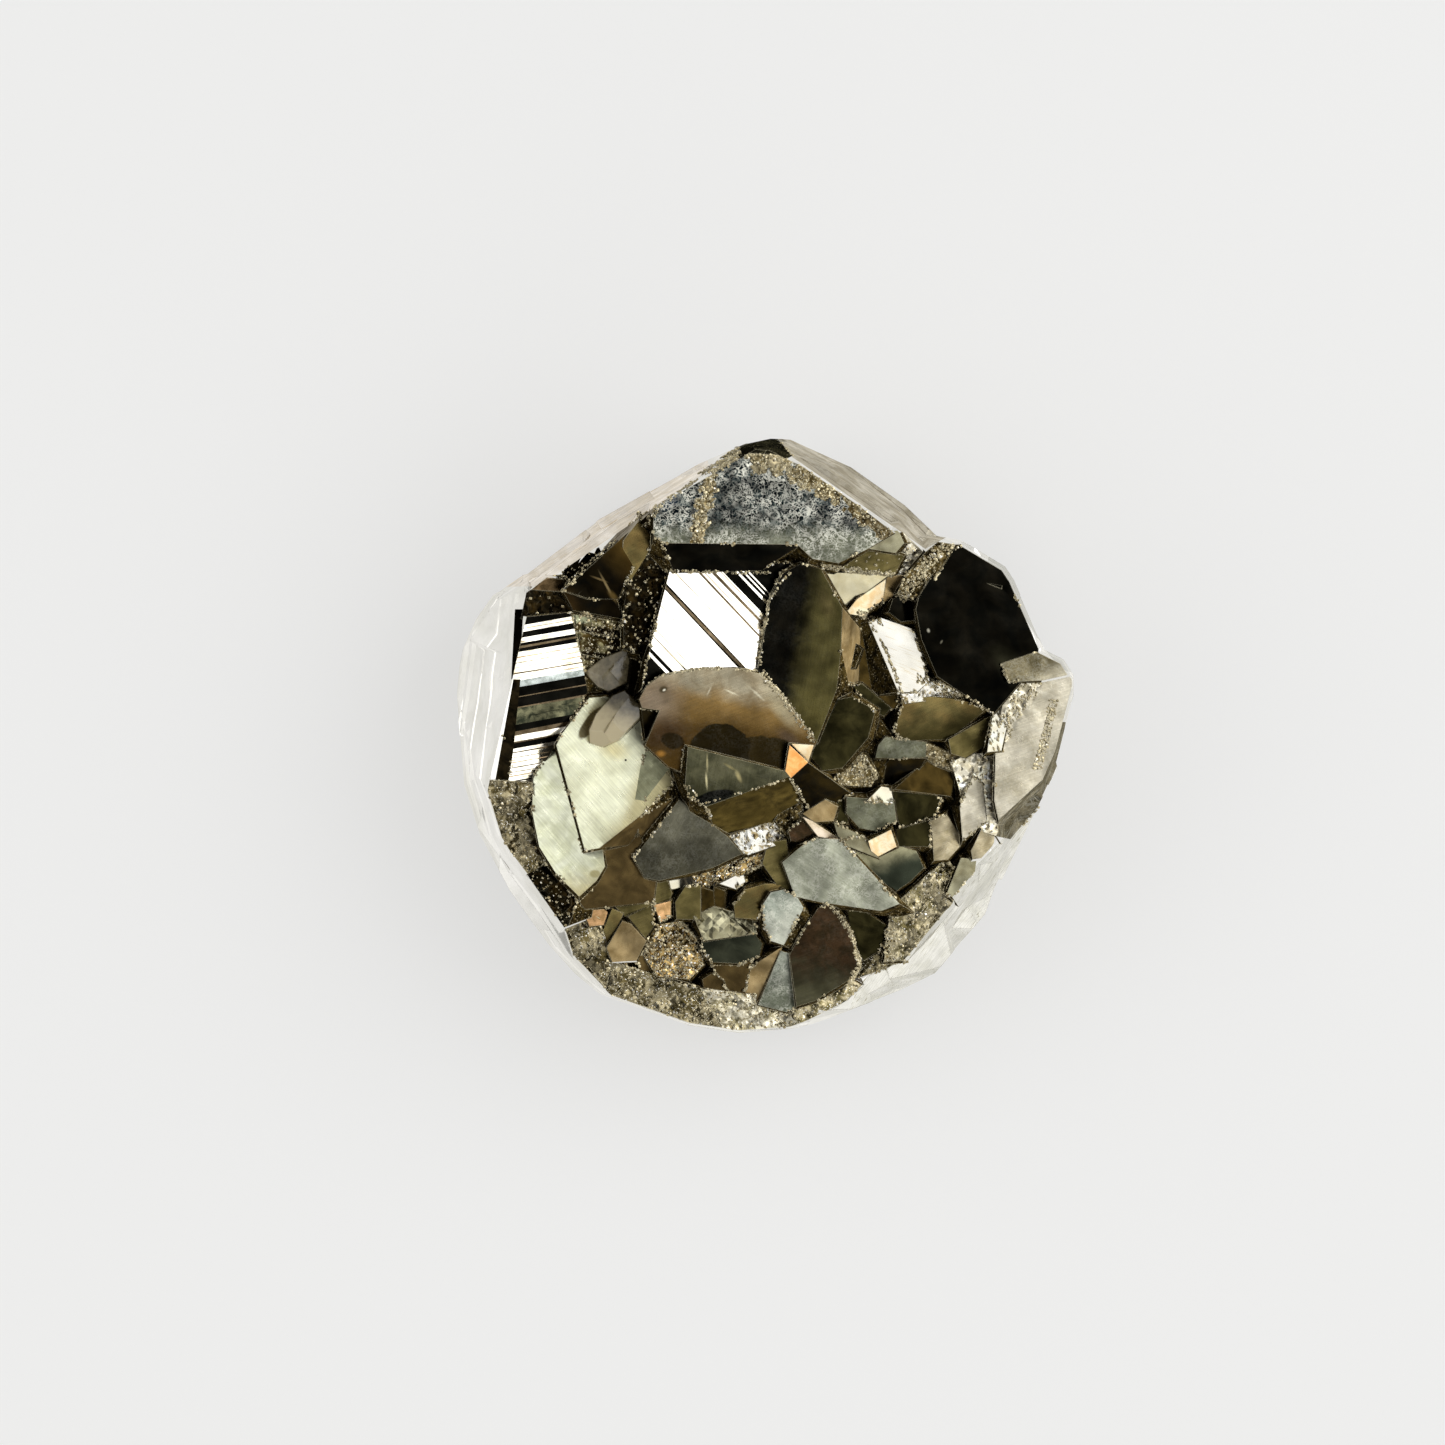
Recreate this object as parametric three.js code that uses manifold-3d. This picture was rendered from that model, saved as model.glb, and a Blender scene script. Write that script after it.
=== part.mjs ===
// Pyrite cluster: many brassy crystals grown together in one piece, with two small quartz crystals lying
// among them. Millimetres, +Z up, the flat spot that it rests on at z = 0. Seen from above, the tall crown
// crystal is at +Y. Each crystal is a block cut by flat faces, as a crystal is bounded by its faces.
import * as THREE from 'three';
import { mergeVertices } from 'three/addons/utils/BufferGeometryUtils.js';
import Module from 'manifold-3d';

const wasm = await Module();
wasm.setup();

// Driving dimensions, in millimetres and degrees
const BLOCK_SIZE = 120;
const CROWN_HEIGHT = 23.6;
const SHOULDER_HEIGHT = 19.5;
const RIGHT_HEIGHT = 21;
const CENTRE_HEIGHT = 20.8;
const LEFT_HEIGHT = 18;
const FIELD_HEIGHT = 15.5;
const SLOPE_HEIGHT = 17.8;
const RIM_HEIGHT = 14;
const CROWN_FRONT_LEAN = 41;
const CRYSTAL_ROOT = 8;
const CRYSTAL_LEAN = 6;
const QUARTZ_GAP = 0.12;
const PLUMB_HEIGHT = 19;
const SLIVER = 0.01;
const UNDERCUT = 49;

// Compass of the plan, in degrees anticlockwise from +X: the way that a face dips
const NORTH_EAST = 60;
const SOUTH_WEST = 215;
const SOUTH = 270;
const SOUTH_EAST = 315;

const PYRITE = new THREE.MeshStandardMaterial({ color: 0x9a8f6a, roughness: 0.25, metalness: 1 });
PYRITE.flatShading = true;
const QUARTZ = new THREE.MeshStandardMaterial({ color: 0xb9b4a4, roughness: 0.15, metalness: 0 });
QUARTZ.flatShading = true;

const DOWN = new THREE.Vector3(0, 0, -1);
const radians = THREE.MathUtils.degToRad;

function solidOf(geometry) {
  const bare = geometry.clone();
  bare.deleteAttribute('normal');
  bare.deleteAttribute('uv');
  const merged = mergeVertices(bare);
  return new wasm.Manifold(new wasm.Mesh({
    numProp: 3,
    vertProperties: new Float32Array(merged.attributes.position.array),
    triVerts: new Uint32Array(merged.index.array),
  }));
}

function geometryOf(solid) {
  const mesh = solid.getMesh();
  const geometry = new THREE.BufferGeometry();
  geometry.setAttribute('position', new THREE.BufferAttribute(mesh.vertProperties, 3));
  geometry.setIndex(new THREE.BufferAttribute(mesh.triVerts, 1));
  geometry.computeVertexNormals();
  return geometry;
}

const BLOCK = solidOf(new THREE.BoxGeometry(BLOCK_SIZE, BLOCK_SIZE, BLOCK_SIZE));

// Cuts a flat face through a point, moved out by `grow`. What lies beyond the face, on the side that its
// normal points to, goes.
function cutFace(solid, point, normal, grow = 0) {
  const inward = normal.clone().normalize().negate();
  return solid.trimByPlane(inward.toArray(), inward.dot(point) - grow);
}

// The edges of a plan outline, in order, each with the level direction that points out of the outline.
function edgesOf(corners) {
  const flat = corners.map((corner) => new THREE.Vector2(corner.x, corner.y));
  const clockwise = THREE.ShapeUtils.area(flat) < 0;
  return corners.map((start, index) => {
    const end = corners[(index + 1) % corners.length];
    const along = end.clone().sub(start);
    const out = new THREE.Vector3(along.y, -along.x, 0).normalize();
    return { start, along, out: clockwise ? out.negate() : out };
  });
}

// The normal of a face that dips by `dip` degrees towards the direction `toward`
function dipped(dip, toward) {
  const level = new THREE.Vector3(Math.cos(radians(toward)), Math.sin(radians(toward)), 0);
  return level.multiplyScalar(Math.sin(radians(dip))).setZ(Math.cos(radians(dip)));
}

// A crystal whose top face has the given plan outline. `height` is at the outline's centre, or at the
// point `at`, and the face dips by `dip` degrees towards `toward`. Each of `bevels` is one more face,
// through a point. The sides leave the upright by `lean` degrees, `leans` by edge, and the crystal ends
// flat at `root`. A copy with `grow` stands that much proud of it on every side.
function crystal(name, shape, ...outline) {
  const { height, dip = 0, toward = SOUTH, root = CRYSTAL_ROOT, grow = 0 } = shape;
  const { lean = CRYSTAL_LEAN, leans = {}, bevels = [] } = shape;
  const centre = new THREE.Vector2();
  outline.forEach(([x, y]) => centre.add(new THREE.Vector2(x, y).divideScalar(outline.length)));
  if (shape.at) centre.set(...shape.at);
  const fall = new THREE.Vector2(Math.cos(radians(toward)), Math.sin(radians(toward)));
  fall.multiplyScalar(Math.tan(radians(dip)));
  const corners = outline.map(([x, y]) => {
    const drop = new THREE.Vector2(x, y).sub(centre).dot(fall);
    return new THREE.Vector3(x, y, height - drop);
  });
  let solid = cutFace(BLOCK, new THREE.Vector3(centre.x, centre.y, height), dipped(dip, toward), grow);
  solid = cutFace(solid, new THREE.Vector3(0, 0, root), DOWN, grow);
  bevels.forEach((bevel) => {
    solid = cutFace(solid, new THREE.Vector3(...bevel.point), dipped(bevel.dip, bevel.toward), grow);
  });
  edgesOf(corners).forEach(({ start, along, out }, index) => {
    const tilt = radians(leans[index] ?? lean);
    const down = out.clone().multiplyScalar(Math.sin(tilt)).setZ(-Math.cos(tilt));
    const side = along.clone().cross(down);
    solid = cutFace(solid, start, side.dot(out) > 0 ? side : side.negate(), grow);
  });
  return { name, shape, outline, solid };
}

// A lobe is one of the rounded lumps that the crystals crowd on. Its girdle is its widest outline, from
// corner to corner as [x, y, z, lean]: the wall above each edge leans in by `lean` degrees, and below it
// the lobe narrows to the flat spot. Each of `bevels` is one more face, through a point. `walls` bounds the
// lobe's crystals, and `body` is the lobe itself.
function lobe({ height, dip = 0, toward = SOUTH, undercut = UNDERCUT, bevels = [] }, ...girdle) {
  const corners = girdle.map(([x, y, z]) => new THREE.Vector3(x, y, z));
  let walls = cutFace(BLOCK, new THREE.Vector3(), DOWN);
  bevels.forEach((bevel) => {
    walls = cutFace(walls, new THREE.Vector3(...bevel.point), dipped(bevel.dip, bevel.toward));
  });
  edgesOf(corners).forEach(({ start, along, out }, index) => {
    const tilt = radians(girdle[index][3] ?? 0);
    const up = out.clone().multiplyScalar(-Math.sin(tilt)).setZ(Math.cos(tilt));
    const wall = along.clone().cross(up);
    walls = cutFace(walls, start, wall.dot(out) > 0 ? wall : wall.negate());
    const under = radians(undercut);
    const down = out.clone().multiplyScalar(-Math.sin(under)).setZ(-Math.cos(under));
    const belly = along.clone().cross(down);
    walls = cutFace(walls, start, belly.dot(out) > 0 ? belly : belly.negate());
  });
  const body = cutFace(walls, new THREE.Vector3(0, 0, height), dipped(dip, toward));
  return { walls, body, girdle };
}

// Lobes
const MAIN_LOBE = lobe(
  { height: 15.2, dip: 10, toward: SOUTH },
  [-17.0, 11.0, 9.5, 6], [-11.6, 15.1, 9.5, 5], [-4.6, 19.0, 10.5, 2], [-1.4, 20.4, 10.5, 2],
  [0.4, 20.8, 10, 4], [1.8, 20.7, 10, 6], [6.0, 18.8, 9.5, 7.5], [9.8, 16.1, 9, 7],
  [12.1, 13.9, 8.5, 3], [18.6, 5.3, 9, 5], [20.5, -2.3, 9, 4], [19.3, -4.6, 8.5, 9],
  [16.8, -9.8, 7.5, 11], [15.4, -12.6, 7, 16], [11.9, -16.7, 7, 9], [9.5, -17.9, 7, 4],
  [4.6, -19.8, 7.5, 3], [2.2, -20.6, 7.5, 2], [-1.8, -20.9, 7, 2], [-5.3, -20.4, 7, 2],
  [-11.6, -18.2, 6.5, 4], [-13.3, -16.8, 7, 7], [-15.2, -14.7, 7.5, 10], [-17.5, -10.9, 8, 8],
  [-18.9, -6.0, 8, 3], [-18.9, -0.4, 8.5, 3], [-18.2, 5.3, 9, 3],
);
const LEFT_LOBE = lobe(
  { height: 15.5, undercut: 55, bevels: [{ point: [-18.2, 2.4, 17.5], dip: 70, toward: 172.6 }] },
  [-20.3, 8.1, 8, 6], [-19.1, 9.8, 8.5, 5], [-17.0, 11.2, 9, 3], [-12.3, 12.3, 10, 0],
  [-10.2, -1.8, 8, 0], [-12.3, -13.7, 6, 5], [-15.2, -14.7, 7, 11], [-17.9, -10.9, 7.5, 9],
  [-20.0, -7.0, 8, 10], [-21.1, -3.5, 8, 9], [-21.6, 2.5, 8, 8], [-21.7, 4.9, 8, 7],
);
const RIGHT_LOBE = lobe(
  { height: 17, undercut: 55 },
  [11.2, 14.1, 9, 2], [13.7, 13.7, 9, 2], [16.8, 11.8, 9.5, 2], [17.4, 10.9, 9.5, 2],
  [19.5, 6.1, 9, 2], [19.3, 1.1, 8, 0], [13.7, 1.1, 7, 0], [8.1, 6.7, 7, 0], [8.4, 12.3, 8, 0],
);
const FLANK_LOBE = lobe(
  { height: 15.5, undercut: 52 },
  [16.5, 5.6, 9, 0], [19.5, 6.0, 9, 2], [20.9, 5.3, 9, 2], [21.6, 4.2, 9, 1], [21.6, 2.8, 9, 2],
  [20.8, -0.4, 8.5, 2], [20.3, -2.3, 8.5, 3], [19.3, -4.6, 8.5, 6], [16.5, -7.4, 8, 0],
  [13.7, -1.8, 8, 0], [14.7, 3.2, 8, 0],
);

// The crown: the highest crystal, with a broad level top and a deep front face
const CROWN = [
  crystal('crown slab', { height: CROWN_HEIGHT, lean: 5, leans: { 7: CROWN_FRONT_LEAN, 8: 20 } },
    [-7.8, 15.4], [-7.4, 17.0], [-6.0, 17.9], [-4.2, 18.8], [-1.8, 19.7], [1.5, 19.5], [6.8, 15.8],
    [2.5, 13.3], [-7.2, 13.4], [-7.8, 14.0]),
  crystal('crown wing', { height: CROWN_HEIGHT, lean: 5, leans: { 3: 15, 4: 15, 5: 20 } },
    [1.1, 19.8], [6.8, 15.8], [9.0, 14.1], [7.2, 13.0], [5.1, 12.0], [3.3, 12.3], [1.8, 13.7]),
  crystal('crown peak left', { height: CROWN_HEIGHT - 0.3, dip: 22, toward: 115, lean: 4 },
    [-3.0, 19.3], [0.4, 20.7], [-0.1, 19.5]),
  crystal('crown peak right', { height: CROWN_HEIGHT - 0.4, dip: 26, toward: 62, lean: 4 },
    [-0.5, 19.4], [0.4, 20.7], [1.8, 19.3]),
  crystal('crown tail', { height: CROWN_HEIGHT - 1.4, dip: 14, toward: 285, lean: 8 },
    [5.0, 11.8], [7.2, 13.0], [9.0, 12.8], [9.7, 12.5], [9.1, 11.3], [6.7, 11.4]),
  crystal('crown barb', { height: CROWN_HEIGHT - 0.6, dip: 12, toward: NORTH_EAST, lean: 8 },
    [7.2, 13.0], [8.3, 14.1], [9.3, 14.3], [9.7, 13.4], [9.1, 12.7]),
];

// The shoulder: dark slanting faces between the crown and the left wall
const SHOULDER = [
  crystal('black shoulder', { height: SHOULDER_HEIGHT + 1.1, dip: 14, toward: 300, lean: 5 },
    [-14.1, 10.1], [-8.1, 15.5], [-7.9, 14.4], [-10.3, 9.5], [-12.3, 9.5]),
  crystal('olive shoulder', { height: SHOULDER_HEIGHT + 1.4, dip: 24, toward: 245 },
    [-9.9, 13.6], [-8.8, 15.0], [-7.8, 13.7], [-8.3, 12.5], [-10.2, 9.5]),
  crystal('brown shoulder', { height: SHOULDER_HEIGHT + 0.4, dip: 26, toward: 265 },
    [-14.1, 10.0], [-11.9, 10.6], [-10.4, 9.6], [-9.9, 8.1], [-13.4, 8.7]),
  crystal('shoulder lip', { height: SHOULDER_HEIGHT, dip: 10, toward: 100, lean: 4 },
    [-17.1, 10.7], [-16.1, 11.1], [-14.1, 10.9], [-14.1, 10.0], [-17.0, 10.2]),
  crystal('pitted patch', { height: SHOULDER_HEIGHT - 0.3, dip: 10, toward: 240, lean: 4 },
    [-17.1, 10.1], [-16.5, 10.6], [-14.7, 10.2], [-13.4, 8.6], [-16.6, 7.8], [-17.2, 8.3]),
  crystal('crusty column',
    { height: SHOULDER_HEIGHT + 0.4, dip: 6, toward: 250, lean: 10, leans: { 3: 25 } },
    [-9.6, 11.2], [-8.4, 12.8], [-6.8, 12.3], [-6.9, 11.1], [-8.1, 6.7], [-8.8, 5.6], [-9.9, 6.0],
    [-9.9, 8.6]),
  crystal('brown gully', { height: SHOULDER_HEIGHT - 2.5, dip: 24, toward: 250, lean: 10 },
    [-9.6, 6.0], [-8.1, 6.3], [-7.7, 4.6], [-8.8, 2.2], [-9.6, 2.2]),
];

// The left bank: a tall striated face with a dark selvage and a lumpy rim, cut off by the left wall
const LEFT_BANK = [
  crystal('bank corner', { height: SHOULDER_HEIGHT - 0.8, dip: 6, toward: 180, lean: 3 },
    [-21.6, 5.0], [-20.3, 8.2], [-19.1, 9.9], [-17.0, 11.2], [-16.6, 10.4], [-16.9, 7.4], [-18.0, 5.2]),
  crystal('striated bank', { height: LEFT_HEIGHT + 0.2, dip: 15, toward: 265 },
    [-17.4, 8.2], [-13.6, 8.6], [-12.8, 5.3], [-12.4, 3.0], [-16.2, -3.2], [-19.2, -3.6], [-19.2, 3.2]),
  crystal('dark selvage', { height: LEFT_HEIGHT - 0.5, dip: 15, toward: 265 },
    [-18.4, 6.6], [-17.5, 6.4], [-17.6, 2.4], [-17.9, -1.8], [-18.2, -4.0], [-19.6, -4.0], [-19.4, 0.0]),
  crystal('left rim', { height: LEFT_HEIGHT - 1.4, dip: 18, toward: 205, lean: 3 },
    [-20.0, -6.4], [-20.0, -3.1], [-16.3, -3.3], [-15.2, -8.9], [-16.8, -9.8]),
  crystal('low left rim', { height: LEFT_HEIGHT - 2.4, dip: 18, toward: SOUTH_WEST, lean: 3 },
    [-17.5, -9.5], [-15.2, -8.5], [-13.1, -11.6], [-14.1, -14.2], [-16.5, -12.2]),
];

// Three broken ledges between the bank and the gully
const LEDGES = [
  crystal('high ledge', { height: LEFT_HEIGHT + 0.9, dip: 22, toward: 280, lean: 10 },
    [-13.7, 8.5], [-10.0, 7.9], [-9.7, 6.8], [-13.3, 7.3]),
  crystal('middle ledge', { height: LEFT_HEIGHT + 0.5, dip: 20, toward: 285, lean: 10 },
    [-13.4, 7.3], [-9.8, 6.7], [-10.0, 5.8], [-11.3, 5.2], [-13.2, 5.7]),
  crystal('low ledge', { height: LEFT_HEIGHT, dip: 18, toward: 280, lean: 10 },
    [-13.3, 5.8], [-11.2, 5.3], [-11.4, 3.0], [-12.6, 3.0], [-13.2, 4.1]),
];

// The pale faces: a broad greenish face with a bevelled edge, and its flank
const PALE_FACES = [
  crystal('pale face', { height: LEFT_HEIGHT + 0.2, dip: 10, toward: 42, leans: { 6: 42, 7: 30 } },
    [-14.6, -0.7], [-14.2, 0.1], [-12.3, 2.6], [-11.1, 2.7], [-8.8, 1.6], [-6.7, -2.2], [-6.4, -3.4],
    [-8.8, -5.7], [-11.6, -7.9], [-12.6, -8.1]),
  crystal('pale flank', { height: LEFT_HEIGHT - 0.5, dip: 10, toward: NORTH_EAST },
    [-16.2, -3.0], [-15.3, -1.4], [-14.2, -0.7], [-11.4, -7.7], [-11.2, -9.2], [-11.8, -10.2],
    [-13.0, -11.3], [-14.6, -9.7], [-15.8, -7.8], [-16.3, -5.3]),
];

// The centre: the striped face, the tall dark face and the brown dome with the slate-topped crystal on it.
// The dome's three crystals share one face, round the notch that the dark wedge fills.
const DOME_FACE = { height: CENTRE_HEIGHT, at: [-2.4, 1.1], dip: 18, toward: 255, lean: 3 };
const CENTRE = [
  crystal('striped face', { height: CENTRE_HEIGHT + 0.2, dip: 5, toward: 240 },
    [-6.9, 11.4], [1.8, 12.1], [2.5, 3.2], [-8.8, 3.2], [-7.9, 6.7]),
  crystal('tall dark face',
    { height: CENTRE_HEIGHT + 1, dip: 10, toward: 235, leans: { 4: 20, 5: 25, 6: 20 } },
    [0.4, 9.8], [1.2, 11.3], [2.5, 12.0], [3.9, 11.6], [5.4, 8.9], [5.3, 6.0], [5.0, 3.2], [3.6, -0.5],
    [0.0, 3.7], [-0.5, 4.7], [-0.1, 7.0]),
  crystal('brown dome', DOME_FACE,
    [-7.3, 1.9], [-7.4, 4.1], [-4.6, 4.6], [-2.1, 4.7], [-0.4, 4.3], [0.8, 3.2], [3.6, -0.5], [2.5, -2.8],
    [-5.3, -2.8]),
  crystal('dome nose', DOME_FACE, [-8.8, 2.5], [-8.3, 3.4], [-7.4, 4.1], [-7.2, 1.7], [-8.6, 1.9]),
  crystal('dome foot', DOME_FACE, [-7.3, 1.9], [-5.2, -2.9], [-6.8, -2.2], [-8.4, -0.7]),
  crystal('dark wedge', { height: CENTRE_HEIGHT - 1.2, dip: 35, toward: 200 },
    [-8.7, 2.1], [-7.1, 2.1], [-7.7, 0.6], [-8.4, -0.4]),
  crystal('slate quad',
    { height: CENTRE_HEIGHT - 0.4, dip: 7, toward: 250, lean: 8, leans: { 2: 29, 3: 20, 5: 20 } },
    [-5.4, -0.8], [1.4, -2.5], [1.7, -2.9], [-4.1, -5.0], [-5.3, -4.3], [-5.6, -3.5]),
  crystal('copper tip back', { height: CENTRE_HEIGHT + 0.3, dip: 24, toward: 55 },
    [1.8, -0.6], [3.4, -0.7], [3.0, -1.9]),
  crystal('copper tip front',
    { height: CENTRE_HEIGHT + 0.3, dip: 30, toward: SOUTH_WEST, leans: { 1: 40 } },
    [1.7, -0.7], [3.0, -1.9], [1.8, -3.0], [1.4, -2.5]),
];

// The right corner: the large black face, the crusted ridge and the small bright faces under it
const RIGHT_CORNER = [
  crystal('black face', { height: RIGHT_HEIGHT + 0.4, dip: 12, toward: 8, lean: 3 },
    [12.6, 12.7], [13.7, 13.2], [16.7, 11.8], [17.4, 10.6], [19.5, 6.2], [19.4, 5.5], [16.0, 1.5],
    [13.3, 3.2], [12.0, 4.1], [10.9, 6.7], [10.5, 8.8], [10.7, 9.6]),
  crystal('black face lip', { height: RIGHT_HEIGHT - 0.4, dip: 30, toward: NORTH_EAST, lean: 3 },
    [11.6, 13.3], [12.6, 13.9], [13.7, 13.7], [16.9, 11.8], [16.5, 10.2], [13.0, 11.6]),
  crystal('sandy ridge', { height: RIGHT_HEIGHT + 0.9, dip: 6, toward: 240, lean: 8 },
    [9.2, 9.9], [9.9, 11.3], [11.2, 12.8], [12.3, 13.7], [13.5, 13.8], [12.8, 12.5], [11.6, 10.4],
    [10.4, 9.5]),
];
const RIGHT_GULLY = [
  crystal('small black face', { height: RIGHT_HEIGHT - 0.4, dip: 6, toward: 300 },
    [8.6, 8.6], [8.9, 9.5], [9.7, 9.9], [10.3, 9.5], [10.4, 8.0], [9.5, 7.9]),
  crystal('peach saddle', { height: RIGHT_HEIGHT, dip: 10, toward: 300, lean: 8 },
    [9.0, 14.4], [11.2, 13.9], [12.3, 13.7], [10.0, 11.3], [9.0, 11.1]),
  crystal('bright window', { height: RIGHT_HEIGHT - 1.4, dip: 22, toward: NORTH_EAST, leans: { 5: 38 } },
    [7.2, 7.9], [8.1, 8.2], [10.4, 7.4], [11.5, 3.8], [10.6, 3.0], [9.3, 3.0]),
  crystal('pale triangle', { height: RIGHT_HEIGHT - 0.6, dip: 20, toward: 240 },
    [4.0, 11.4], [8.7, 11.2], [6.4, 9.5], [5.4, 8.8], [4.6, 9.5]),
  crystal('peach blade', { height: RIGHT_HEIGHT - 0.7, dip: 30, toward: 300, lean: 8 },
    [8.7, 11.1], [8.3, 9.5], [6.8, 8.3], [5.6, 8.5], [6.4, 9.5]),
  crystal('olive corner', { height: RIGHT_HEIGHT - 0.4, dip: 28, toward: 250 },
    [8.5, 11.1], [9.9, 11.2], [9.3, 9.9], [8.2, 9.2]),
  crystal('gold gully', { height: RIGHT_HEIGHT - 2.6, dip: 20, toward: 200 },
    [5.4, 8.8], [7.1, 8.3], [9.3, 3.2], [9.3, 2.0], [8.5, 1.6], [5.1, 2.8]),
  crystal('gully shard', { height: RIGHT_HEIGHT - 1.6, dip: 22, toward: 120 },
    [5.1, 6.0], [6.0, 6.7], [6.8, 6.0], [6.3, 4.7], [5.4, 4.4]),
  crystal('crusty spur', { height: RIGHT_HEIGHT - 1.2, dip: 12, toward: 250, lean: 8 },
    [9.3, 3.2], [11.7, 3.7], [12.6, 3.7], [13.7, 2.7], [9.8, 2.2]),
  crystal('gully rib', { height: RIGHT_HEIGHT - 2.2, dip: 25, toward: 240 },
    [6.1, 3.5], [6.8, 3.6], [8.8, 1.9], [8.3, 1.3], [7.2, 1.9]),
];

// The right flank: a big pale crystal whose face dips to the outside
const RIGHT_FLANK = [
  crystal('flank cap', { height: RIGHT_HEIGHT - 0.1, dip: 18, toward: NORTH_EAST, lean: 3 },
    [16.5, 5.0], [19.5, 6.0], [20.9, 5.3], [21.6, 4.3], [19.3, 3.8], [17.0, 3.7]),
  crystal('flank face', { height: RIGHT_HEIGHT - 2.4, dip: 26, toward: 350, lean: 3 },
    [16.9, 3.8], [21.5, 4.3], [21.6, 2.7], [20.8, -0.4], [19.3, -4.3], [16.5, -6.9], [16.0, -4.6],
    [16.1, -0.4]),
  crystal('flank edge', { height: RIGHT_HEIGHT - 1.1, dip: 24, toward: NORTH_EAST },
    [16.0, 2.2], [17.2, 3.7], [17.0, 1.1], [16.5, -1.1], [15.5, -1.2]),
];

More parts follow.
